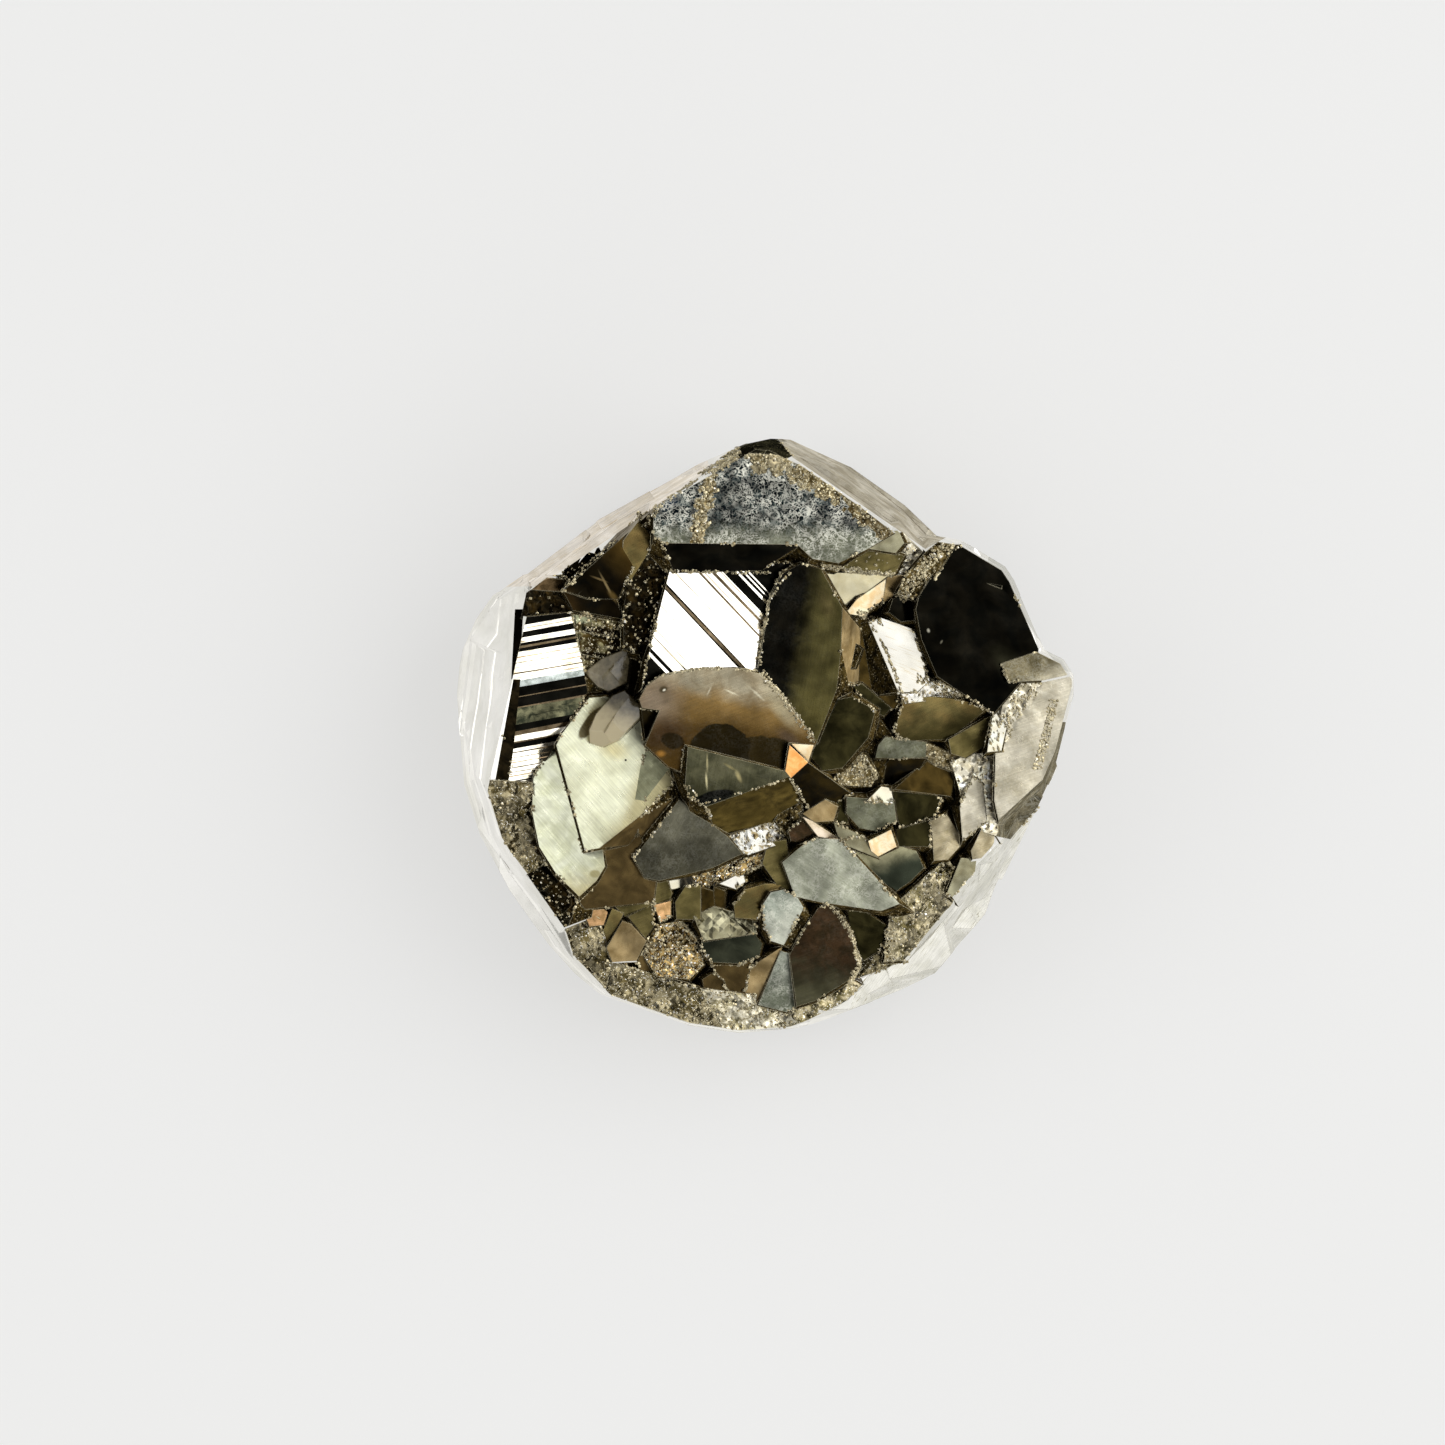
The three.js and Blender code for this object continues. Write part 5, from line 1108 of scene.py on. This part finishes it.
@dataclass
class PyriteCrystals:
    """All the crystals of pyrite, grown together in one piece.

    Attributes:
        node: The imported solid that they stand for.
        same_plane: How far off a plane a face may lie and still belong to it, in millimetres.
        same_way: The least cosine of the angle between the plane and such a face.
        line_gap: The closest and widest spacing of the growth lines on the walls.
        line_depth: How deep those lines are.
        line_tilt: How far they may be off level, as a slope.
        line_seed: What their spacing, tilt and depth start from.
        lowest_line: The level of the first of them, in millimetres.
        skin: How far in from the outline the outer walls lie, in millimetres.
        flush: The share of that within which a face is a wall even if nothing looks at it.
        levels: The levels that the outline is felt for at, in millimetres.
        sides: The ways that an outer wall is looked at from, in degrees beside straight out.
        lifts: How high those ways stand, in degrees.
        seen: The share of those ways that has to be free.
        clear: How far off a face such a look starts, in millimetres.
        overhang: How far downwards a face of the belly looks at the least.
        rise: How high a step between facets may be, in millimetres.
        steep: How far upwards such a step looks at the most.
        fray: How far in the border of a crusted part is broken up, in millimetres.
        fray_size: How large the bites out of it are, in millimetres.
        finishes: The finishes in the order of the piece's materials.
    """

    node: str = "pyrite_cluster"
    same_plane: float = 0.012
    same_way: float = 0.9999
    line_gap: Span = (0.35, 1.1)
    line_depth: float = 0.07
    line_tilt: float = 0.05
    line_seed: int = 11
    lowest_line: float = 0.6
    skin: float = 3.0
    flush: float = 0.4
    levels: range = range(2, 20, 3)
    sides: tuple[float, ...] = (-40, 0, 40)
    lifts: tuple[float, ...] = (-35, -15, 2, 15, 30)
    seen: float = 1 / 3
    clear: float = 0.02
    overhang: float = 0.15
    rise: float = 2.0
    steep: float = 0.5
    fray: float = 0.4
    fray_size: float = 0.5
    finishes: list[Finish] = field(default_factory=list)

    def slot_of(self, finish: Finish) -> int:
        """The number of a finish among the piece's materials."""
        if finish not in self.finishes:
            self.finishes.append(finish)
        return self.finishes.index(finish)

    def load(self) -> BMesh:
        """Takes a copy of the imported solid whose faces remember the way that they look."""
        mesh = merged_solid(self.node, flat=0.4)
        mesh.normal_update()
        plane = mesh.faces.layers.float_vector.new("plane")
        for face in mesh.faces:
            face[plane] = face.normal
        return mesh

    def find_facets(self, mesh: BMesh) -> None:
        """Numbers every facet's faces from 1 on and gives them their finish."""
        group = mesh.faces.layers.int.new("facet")
        mesh.faces.ensure_lookup_table()
        tree = BVHTree.FromBMesh(mesh)
        for number, facet in enumerate(FACETS, 1):
            if facet.outline:
                continue
            spot, index = seen_from_above(tree, facet.at)
            seen = mesh.faces[index]
            if seen[group]:
                LOG.warning("%s lies on %s", facet.name, FACETS[seen[group] - 1].name)
                continue
            for face in mesh.faces:
                off = abs((face.verts[0].co - spot).dot(seen.normal))
                if face.normal.dot(seen.normal) > self.same_way and off < self.same_plane * MM:
                    face[group] = number
                    face.material_index = self.slot_of(facet.finish)

    def cut_part(self, mesh: BMesh, number: int, facet: Facet) -> None:
        """Cuts a facet's outline out of the surface that it lies on.

        Args:
            mesh: The mesh.
            number: The facet's number.
            facet: The facet.
        """
        group = mesh.faces.layers.int["facet"]
        _, index = seen_from_above(BVHTree.FromBMesh(mesh), facet.at)
        mesh.faces.ensure_lookup_table()
        below = mesh.faces[index][group]
        faces = [face for face in mesh.faces if face[group] == below]
        middle = sum((Vector(corner) for corner in facet.outline), Vector((0, 0))) / len(facet.outline)
        for start, end in zip(facet.outline, facet.outline[1:] + facet.outline[:1]):
            out = Vector((end[1] - start[1], start[0] - end[0], 0)).normalized()
            if (middle.to_3d() - Vector((*start, 0))).dot(out) > 0:
                out.negate()
            corner = Vector((*start, 0)) * MM
            faces, _ = cut(mesh, faces, corner, out)
            faces = [face for face in faces if (face.calc_center_median() - corner).dot(out) < 0]
        if not faces:
            LOG.warning("%s covers nothing", facet.name)
            return
        covered = faces[0].material_index
        for face in faces:
            face[group] = number
            face.material_index = self.slot_of(facet.finish)
        if facet.relief:
            self.roughen(mesh, number, facet)
            self.fray_border(mesh, number, facet, below, covered)

    def fray_border(self, mesh: BMesh, number: int, facet: Facet, below: int, slot: int) -> None:
        """Breaks up the border of a part, so that what it lies on shows through.

        Args:
            mesh: The mesh.
            number: The part's number.
            facet: The part.
            below: The number of the facet that it lies on.
            slot: The number of that facet's material.
        """
        group = mesh.faces.layers.int["facet"]
        edges = list(zip(facet.outline, facet.outline[1:] + facet.outline[:1]))
        for face in mesh.faces:
            if face[group] != number:
                continue
            centre = face.calc_center_median()
            place = centre.to_2d() / MM
            inside = min(abs((Vector(end) - Vector(start)).normalized().cross(place - Vector(start)))
                         for start, end in edges)
            if inside < self.fray * (0.5 + 1.6 * noise.noise(centre / (self.fray_size * MM))):
                face[group] = below
                face.material_index = slot

    def is_step(self, face: BMFace, group: BMLayerItem) -> bool:
        """Tells whether a face is only a low step between the facets on top.

        Args:
            face: The face.
            group: The layer that holds the facets' numbers.

        Returns:
            Whether it is low, steep and edged by facets.
        """
        levels = [corner.co.z for corner in face.verts]
        beside = {other[group] for edge in face.edges for other in edge.link_faces if other[group] > 0}
        low = max(levels) - min(levels) < self.rise * MM
        return low and face.normal.z < self.steep and len(beside) > 1

    def find_walls(self, mesh: BMesh) -> None:
        """Gives the faces that no facet claims the finish of a wall, the belly or a gully."""
        group = mesh.faces.layers.int["facet"]
        tree = BVHTree.FromBMesh(mesh)
        for face in mesh.faces:
            if face[group] != Zone.GULLY:
                continue
            centre = face.calc_center_median()
            outward = math.degrees(math.atan2(centre.y, centre.x))
            looks = [heading(outward + side, lift) for side in self.sides for lift in self.lifts]
            eye = centre + face.normal * self.clear * MM
            free = sum(tree.ray_cast(eye, look)[0] is None for look in looks)
            away = heading(outward)
            starts = ((away * OUTSIDE + UP * level) * MM for level in self.levels)
            hits = [tree.ray_cast(start, -away)[0] for start in starts]
            depth = (max(hit.dot(away) for hit in hits if hit) - centre.dot(away)) / MM
            if face.normal.z < -self.overhang:
                face[group], finish = Zone.BELLY, BELLY
            elif self.is_step(face, group):
                finish = GULLY
            elif depth < self.skin and (free > len(looks) * self.seen or depth < self.skin * self.flush):
                face[group], finish = Zone.WALL, WALL
            else:
                finish = GULLY
            face.material_index = self.slot_of(finish)

    def band(self, mesh: BMesh, number: int, facet: Facet) -> None:
        """Cuts a facet into its stripes.

        Args:
            mesh: The mesh.
            number: The facet's number.
            facet: The facet.
        """
        group = mesh.faces.layers.int["facet"]
        faces = [face for face in mesh.faces if face[group] == number]
        banding = facet.banding
        across = heading(banding.turn)
        lines = sorted({edge for band in banding.stripes for edge in (band.start, band.end)})
        middle = mesh_middle(faces)
        draw = random.Random(number)
        pressed = []
        for count, line in enumerate(lines):
            point = middle + across * (line * MM - middle.dot(across))
            turn = banding.turn + draw.uniform(-banding.wander, banding.wander)
            faces, corners = cut(mesh, faces, point, heading(turn))
            if count % 2:
                pressed += corners
        for face in faces:
            finish = banding.finish_at(face.calc_center_median(), facet.finish)
            face.material_index = self.slot_of(finish)
        for corner in pressed:
            if corner.is_valid and all(face[group] == number for face in corner.link_faces):
                corner.co.z -= banding.depth * MM

    def roughen(self, mesh: BMesh, number: int, facet: Facet) -> None:
        """Cuts a facet by a grid and moves the corners inside it.

        Args:
            mesh: The mesh.
            number: The facet's number.
            facet: The facet.
        """
        group = mesh.faces.layers.int["facet"]
        faces = [face for face in mesh.faces if face[group] == number]
        if not faces:
            return
        relief = facet.relief
        normal = faces[0].normal.copy()
        ways = [normal.orthogonal().normalized()]
        ways.append(normal.cross(ways[0]))
        for way in ways:
            spread = [corner.co.dot(way) for face in faces for corner in face.verts]
            line = min(spread) + relief.step * MM * 0.5
            while line < max(spread):
                faces, _ = cut(mesh, faces, way * line, way)
                line += relief.step * MM
        inner = {corner for face in faces for corner in face.verts
                 if all(other[group] == number for other in corner.link_faces)}
        for corner in inner:
            place = corner.co / (relief.lump * MM)
            rise = noise.noise(place) + 0.5 * noise.noise(place * FINER)
            corner.co += normal * rise * relief.height * MM
        if relief.sharp:
            bmesh.ops.triangulate(mesh, faces=faces)
        else:
            for face in faces:
                face.smooth = True

    def striate_walls(self, mesh: BMesh) -> None:
        """Draws level growth lines round the walls and the belly."""
        group = mesh.faces.layers.int["facet"]
        outside = (Zone.WALL, Zone.BELLY)
        draw = random.Random(self.line_seed)
        level = self.lowest_line
        while level < CAD_BOX[1].z / MM:
            faces = [face for face in mesh.faces if face[group] in outside]
            slopes = [draw.uniform(-self.line_tilt, self.line_tilt) for _ in range(2)]
            _, corners = cut(mesh, faces, Vector((0, 0, level * MM)), Vector((*slopes, 1)))
            depth = (draw.uniform(-1, 1) - 0.5) * self.line_depth * MM
            for corner in corners:
                if all(face[group] in outside for face in corner.link_faces):
                    corner.co += Vector((corner.co.x, corner.co.y, 0)).normalized() * depth
            level += draw.uniform(*self.line_gap)

    def sharpen(self, mesh: BMesh) -> None:
        """Marks the edges between crystals as sharp."""
        group = mesh.faces.layers.int["facet"]
        for edge in mesh.edges:
            numbers = {face[group] for face in edge.link_faces}
            edge.smooth = len(numbers) == 1 and numbers.pop() > 0

    def build(self) -> tuple[bpy.types.Object, BMesh]:
        """Makes the piece.

        Returns:
            The piece, and its mesh for what lies on it.
        """
        mesh = self.load()
        self.find_facets(mesh)
        self.find_walls(mesh)
        for number, facet in enumerate(FACETS, 1):
            if facet.banding:
                self.band(mesh, number, facet)
            if facet.outline:
                self.cut_part(mesh, number, facet)
            elif facet.relief:
                self.roughen(mesh, number, facet)
        self.striate_walls(mesh)
        self.sharpen(mesh)
        piece = put_in_scene("pyrite_crystals", finished_mesh("pyrite_crystals", mesh))
        for finish in self.finishes:
            piece.data.materials.append(finish.material())
        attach(piece, BODY)
        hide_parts(self.node)
        LOG.info("%s: %d faces, %d finishes", piece.name, len(piece.data.polygons), len(self.finishes))
        return piece, mesh


@dataclass
class Crust:
    """Small crystals scattered over the crusty faces and along the seams.

    Attributes:
        size: The smallest and largest grain, across.
        seed: What the scatter starts from.
        seam_share: The share of the seams between crystals that are crusted.
        seam_grains: Grains for each square millimetre of those seams.
        seam_width: How wide the crust is there.
        seam_run: How long the crusted and bare stretches are.
        lowest: The level below which the seams are bare, in millimetres.
        steepest: How far upwards the faces beside a crusted seam look at the least.
        step: The length of a ribbon's quads along a seam, in millimetres.
        drop: How steep such a quad may be: the most that its corners may differ by in height.
    """

    size: Span = (0.05, 0.17)
    seed: int = 5
    seam_share: float = 0.3
    seam_grains: float = 32.0
    seam_width: float = 0.24
    seam_run: float = 1.7
    lowest: float = 12.0
    steepest: float = 0.02
    step: float = 0.25
    drop: float = 1.2

    def bed(self, mesh: BMesh) -> bpy.types.Object:
        """Makes the surface that the grains lie on, with their density on its faces.

        Args:
            mesh: The crystals' mesh.

        Returns:
            An object to scatter over.
        """
        group = mesh.faces.layers.int["facet"]
        corners: list[Vector] = []
        faces: list[list[int]] = []
        densities: list[float] = []
        for face in mesh.faces:
            number = face[group]
            if number > 0 and FACETS[number - 1].grains:
                faces.append(list(range(len(corners), len(corners) + len(face.verts))))
                corners += [corner.co.copy() for corner in face.verts]
                densities.append(FACETS[number - 1].grains)
        tree = BVHTree.FromBMesh(mesh)
        strips = [(quad, seam.grains) for seam in SEAMS for quad in self.draped(tree, seam)]
        strips += [(quad, self.seam_grains) for quad in self.crusted_seams(mesh)]
        for quad, density in strips:
            faces.append(list(range(len(corners), len(corners) + len(quad))))
            corners += quad
            densities.append(density)
        data = bpy.data.meshes.new("crust_bed")
        data.from_pydata(corners, [], faces)
        data.attributes.new("density", "FLOAT", "FACE").data.foreach_set("value", densities)
        return put_in_scene("crust_bed", data)

    def crusted_seams(self, mesh: BMesh) -> list[list[Vector]]:
        """Picks stretches of the edges between crystals for crust to lie on.

        Args:
            mesh: The crystals' mesh.

        Returns:
            Thin quads along them.
        """
        group = mesh.faces.layers.int["facet"]
        quads = []
        for edge in mesh.edges:
            if len(edge.link_faces) != 2:
                continue
            if min(face.normal.z for face in edge.link_faces) < self.steepest:
                continue
            first, second = (face[group] for face in edge.link_faces)
            middle = (edge.verts[0].co + edge.verts[1].co) / 2
            if first == second or min(first, second) < 0 or middle.z < self.lowest * MM:
                continue
            if noise.noise(middle / (self.seam_run * MM)) < 0.5 - self.seam_share:
                continue
            start, end = (corner.co for corner in edge.verts)
            up = edge.link_faces[0].normal + edge.link_faces[1].normal
            side = (end - start).cross(up).normalized() * self.seam_width * MM / 2
            quads.append([start - side, end - side, end + side, start + side])
        return quads

    def draped(self, tree: BVHTree, seam: Seam) -> list[list[Vector]]:
        """Lays a ribbon along a seam on the crystals below it.

        Args:
            tree: The crystals.
            seam: The seam.

        Returns:
            The quads' corners.
        """
        rows: list[list[Vector | None]] = []
        for start, end in zip(seam.line, seam.line[1:]):
            first, run = Vector(start), Vector(end) - Vector(start)
            side = Vector((-run.y, run.x)).normalized() * seam.width / 2
            count = max(1, round(run.length / self.step))
            for number in range(count + 1):
                middle = first + run * number / count
                row = [middle + side * share for share in (-1, -0.5, 0, 0.5, 1)]
                rows.append([seen_from_above(tree, point)[0] for point in row])
        quads = []
        for row, following in zip(rows, rows[1:]):
            for index in range(len(row) - 1):
                quad = [row[index], row[index + 1], following[index + 1], following[index]]
                levels = [corner.z for corner in quad if corner is not None]
                if len(levels) == len(quad) and max(levels) - min(levels) < self.drop * MM:
                    quads.append(quad)
        return quads

    def tree(self) -> tuple[bpy.types.NodeTree, dict[str, str]]:
        """Builds the scatter.

        Returns:
            The node tree, and the identifiers of its inputs by name.
        """
        tree = bpy.data.node_groups.new("crust_scatter", "GeometryNodeTree")
        tree.is_modifier = True
        wiring = Wiring(tree)
        kinds = {"Bed": "Geometry", "Smallest": "Float", "Largest": "Float", "Seed": "Int",
                 "Finish": "Material"}
        names = {}
        for name, kind in kinds.items():
            socket = tree.interface.new_socket(name, in_out="INPUT", socket_type=f"NodeSocket{kind}")
            names[name] = socket.identifier
        tree.interface.new_socket("Grains", in_out="OUTPUT", socket_type="NodeSocketGeometry")
        given = wiring.node("NodeGroupInput").outputs
        density = wiring.node("GeometryNodeInputNamedAttribute", {"Name": "density"}, data_type="FLOAT")
        per_metre = wiring.maths("MULTIPLY", density.outputs[0], 1 / MM ** 2)
        points = wiring.node("GeometryNodeDistributePointsOnFaces", {
            "Mesh": given["Bed"], "Density": per_metre, "Seed": given["Seed"]})
        grain = wiring.node("GeometryNodeMeshCube", {"Size": (1.0, 1.0, 1.0)})
        turn = wiring.node("FunctionNodeRandomValue", {
            0: (0.0,) * 3, 1: (math.tau,) * 3, "Seed": given["Seed"]},
            data_type="FLOAT_VECTOR")
        size = wiring.node("FunctionNodeRandomValue", {
            2: given["Smallest"], 3: given["Largest"], "Seed": given["Seed"]}, data_type="FLOAT")
        placed = wiring.node("GeometryNodeInstanceOnPoints", {
            "Points": points.outputs["Points"], "Instance": grain.outputs[0], "Rotation": turn.outputs[0],
            "Scale": size.outputs[1]})
        real = wiring.node("GeometryNodeRealizeInstances", {0: placed.outputs[0]})
        dressed = wiring.node("GeometryNodeSetMaterial", {
            "Geometry": real.outputs[0], "Material": given["Finish"]})
        wiring.node("NodeGroupOutput", {0: dressed.outputs[0]})
        return tree, names

    def build(self, mesh: BMesh) -> bpy.types.Object:
        """Makes the piece.

        Args:
            mesh: The crystals' mesh.

        Returns:
            The piece.
        """
        bed = self.bed(mesh)
        tree, names = self.tree()
        modifier = bed.modifiers.new("scatter", "NODES")
        modifier.node_group = tree
        modifier[names["Smallest"]] = self.size[0] * MM
        modifier[names["Largest"]] = self.size[1] * MM
        modifier[names["Seed"]] = self.seed
        modifier[names["Finish"]] = GRAINS.material()
        graph = bpy.context.evaluated_depsgraph_get()
        data = bpy.data.meshes.new_from_object(bed.evaluated_get(graph))
        data.name = "crust_grains"
        bpy.data.objects.remove(bed)
        piece = put_in_scene("crust_grains", data)
        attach(piece, BODY)
        LOG.info("%s: %d faces", piece.name, len(data.polygons))
        return piece


@dataclass
class QuartzCrystal:
    """One small clear crystal, with its edges worn round.

    Attributes:
        name: The piece.
        node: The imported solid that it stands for.
        dark: A place on it where it is darkest.
        light: A place on it, or in line with it, where it would be lightest.
        ridge: The direction of the ridge along its top, in degrees.
        cross_ridge: The degrees between that ridge and the one across it.
        rounding: How round its edges are, in millimetres.
        swell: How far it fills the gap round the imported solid, in millimetres.
        crest: How high the ridge stands, in millimetres.
        same_way: The least cosine of the angle between two faces of its top.
    """

    name: str
    node: str
    dark: Plan
    light: Plan
    ridge: float
    cross_ridge: float = 70.0
    rounding: float = 0.06
    swell: float = 0.14
    crest: float = 0.6
    same_way: float = 0.99

    def material(self) -> bpy.types.Material:
        """Smoky grey quartz that light passes through."""
        material, wiring = new_material(self.name)
        place = wiring.millimetres()
        share = wiring.progress(place, self.dark, self.light, wiring.cloud(place, size=0.8, detail=4.0))
        wiring.surface({
            "Base Color": wiring.mixed(share, rgba(SMOKE), rgba(PALE_SMOKE)), "Roughness": 0.14,
            "IOR": 1.544, "Transmission Weight": 0.3,
            "Normal": wiring.bumped(wiring.cloud(place, size=0.3, detail=3.0), depth=0.01)})
        return material

    def build(self) -> bpy.types.Object:
        """Makes the piece."""
        mesh = merged_solid(self.node, flat=0.5)
        middle = mesh_middle(mesh.faces).to_2d()
        for corner in mesh.verts:
            corner.co += (corner.co.to_2d() - middle).normalized().to_3d() * self.swell * MM
        top = max(mesh.faces, key=lambda face: face.normal.z)
        for way in (self.ridge, self.ridge + self.cross_ridge):
            upper = [face for face in mesh.faces if face.normal.dot(top.normal) > self.same_way]
            _, corners = cut(mesh, upper, middle.to_3d(), heading(way + 90))
        crown = min((corner for corner in mesh.verts if len(corner.link_faces) > 3),
                    key=lambda corner: (corner.co.to_2d() - middle).length, default=None)
        if crown:
            crown.co.z += self.crest * MM
        bmesh.ops.bevel(mesh, geom=list(mesh.edges), offset=self.rounding * MM, segments=2, profile=0.5,
                        affect="EDGES", clamp_overlap=True)
        piece = put_in_scene(self.name, finished_mesh(self.name, mesh))
        mesh.free()
        piece.data.materials.append(self.material())
        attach(piece, BODY)
        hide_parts(self.node)
        LOG.info("%s: %d faces", piece.name, len(piece.data.polygons))
        return piece


@dataclass(frozen=True)
class Dimming:
    """A darker part of the room round the cluster.

    Attributes:
        turn: The direction of its middle.
        rise: How high its middle stands, in degrees.
        edge: How many degrees from its middle it ends.
        core: How many degrees from its middle it is darkest.
        level: The share of light that is left there.
    """

    turn: float
    rise: float
    edge: float
    core: float
    level: float

    def left(self, wiring: Wiring, way: Socket) -> Socket:
        """Wires the share of light that is left.

        Args:
            wiring: The room's nodes.
            way: The direction that is looked in.

        Returns:
            The share, from 0 to 1.
        """
        near = wiring.vector("DOT_PRODUCT", way, heading(self.turn, self.rise))
        edge, core = (math.cos(math.radians(angle)) for angle in (self.edge, self.core))
        return wiring.between(near, edge, core, (1.0, self.level))


@dataclass
class Studio:
    """A pale floor under soft light, seen from straight above.

    Attributes:
        distance: From the camera to the level that the picture's width is measured at, in metres.
        level: How high that level is, in metres.
        width: How much the picture takes in at that level, in metres.
        offset: Where the picture's middle lies from the frame's origin, in millimetres.
        key_turn: The direction that the main light comes from.
        key_radiance: How bright it is.
        fill_turn: The direction that the second, weaker light comes from.
        fill_radiance: How bright that one is.
        light_rise: How high both stand, in degrees.
        light_distance: How far off they are, in metres.
        light_radius: Their radius, in metres.
        floor_tint: How much of the light the floor throws back.
        floor_glow: How much light it gives off itself, like a lit table.
        floor_reach: How far the floor goes from the middle to each side, in metres.
        floor_gap: How far below the cluster it lies, in millimetres.
        sky: How bright the room is at each height, from 0 at eye level to 1 overhead.
        warmth: How much of the blue is left in that light.
        lower_left: The dark part of the room that the faces on the lower left mirror.
        back: The dimmer part of the room behind the cluster.
    """

    distance: float = 2.5
    level: float = 0.015
    width: float = 0.10115
    offset: Plan = (-2.98, 0.88)
    key_turn: float = 15.0
    key_radiance: float = 1.35
    fill_turn: float = 190.0
    fill_radiance: float = 0.6
    light_rise: float = 47.0
    light_distance: float = 0.5
    light_radius: float = 0.24
    floor_tint: float = 0.36
    floor_glow: float = 0.515
    floor_reach: float = 4.0
    floor_gap: float = 0.02
    sky: tuple[Span, ...] = (
        (0.0, 0.95), (0.35, 1.05), (0.7, 1.05), (0.85, 0.92), (0.93, 0.25), (1.0, 0.12))
    warmth: float = 0.985
    lower_left: Dimming = Dimming(232, 52, 38, 16, 0.28)
    back: Dimming = Dimming(90, 10, 80, 30, 0.72)

    def build_camera(self) -> None:
        """Sets the camera up above the cluster, looking down."""
        data = bpy.data.cameras.new("camera")
        data.sensor_width = 36.0
        data.lens = data.sensor_width * self.distance / self.width
        data.clip_end = 10.0
        camera = put_in_scene("camera", data)
        camera.location = (self.offset[0] * MM, self.offset[1] * MM, self.distance + self.level)
        bpy.context.scene.camera = camera

    def build_light(self, name: str, turn: float, radiance: float) -> None:
        """Hangs one round soft light.

        Args:
            name: What it is called.
            turn: The direction that it comes from.
            radiance: How bright it is.
        """
        data = bpy.data.lights.new(name, "AREA")
        data.shape = "DISK"
        data.size = 2 * self.light_radius
        area = math.pi * self.light_radius ** 2
        data.energy = radiance * math.pi * area
        light = put_in_scene(name, data)
        way = heading(turn, self.light_rise)
        light.location = way * self.light_distance
        light.rotation_euler = way.to_track_quat("Z", "Y").to_euler()
        light.visible_camera = False

    def build_world(self) -> None:
        """Makes the room's light: bright all round but dimmer overhead, behind and at the lower left."""
        world = bpy.data.worlds.new("room")
        world.use_nodes = True
        bpy.context.scene.world = world
        wiring = Wiring(world.node_tree)
        way = wiring.node("ShaderNodeTexCoord").outputs["Generated"]
        height = wiring.node("ShaderNodeSeparateXYZ", {0: way}).outputs[2]
        ramp = wiring.node("ShaderNodeValToRGB", {0: height})
        elements = ramp.color_ramp.elements
        while len(elements) < len(self.sky):
            elements.new(0.5)
        for element, (position, level) in zip(elements, self.sky):
            element.position = position
            element.color = (level, level, level * self.warmth, 1)
        left = (dimming.left(wiring, way) for dimming in (self.lower_left, self.back))
        light = wiring.node("ShaderNodeBackground", {
            "Color": ramp.outputs[0], "Strength": wiring.maths("MULTIPLY", *left)})
        wiring.node("ShaderNodeOutputWorld", {"Surface": light.outputs[0]})

    def build_floor(self) -> None:
        """Lays the plain pale floor."""
        mesh = bmesh.new()
        bmesh.ops.create_grid(mesh, x_segments=1, y_segments=1, size=self.floor_reach)
        floor = put_in_scene("floor", finished_mesh("floor", mesh))
        mesh.free()
        floor.location.z = -self.floor_gap * MM
        material, wiring = new_material("floor")
        wiring.surface({
            "Base Color": (*(self.floor_tint,) * 3, 1.0), "Roughness": 0.8, "Specular IOR Level": 0.1,
            "Emission Color": (1.0, 1.0, 0.99, 1.0), "Emission Strength": self.floor_glow})
        floor.data.materials.append(material)

    def build(self) -> None:
        """Sets the whole studio up."""
        self.build_camera()
        self.build_light("key", self.key_turn, self.key_radiance)
        self.build_light("fill", self.fill_turn, self.fill_radiance)
        self.build_world()
        self.build_floor()
        bpy.context.scene.view_settings.view_transform = "Standard"


def main() -> None:
    """Builds the studio and every piece of the cluster."""
    logging.basicConfig(level=logging.INFO, format="%(name)s: %(message)s")
    Studio().build()
    _, mesh = PyriteCrystals().build()
    Crust().build(mesh)
    mesh.free()
    QuartzCrystal("quartz_upper", "quartz_crystal_upper", (-8.0, 4.4), (-18.0, 4.4), 60).build()
    QuartzCrystal("quartz_lower", "quartz_crystal_lower", (-9.8, 2.6), (-10.6, 0.6), 62).build()


if __name__ == "__main__":
    main()
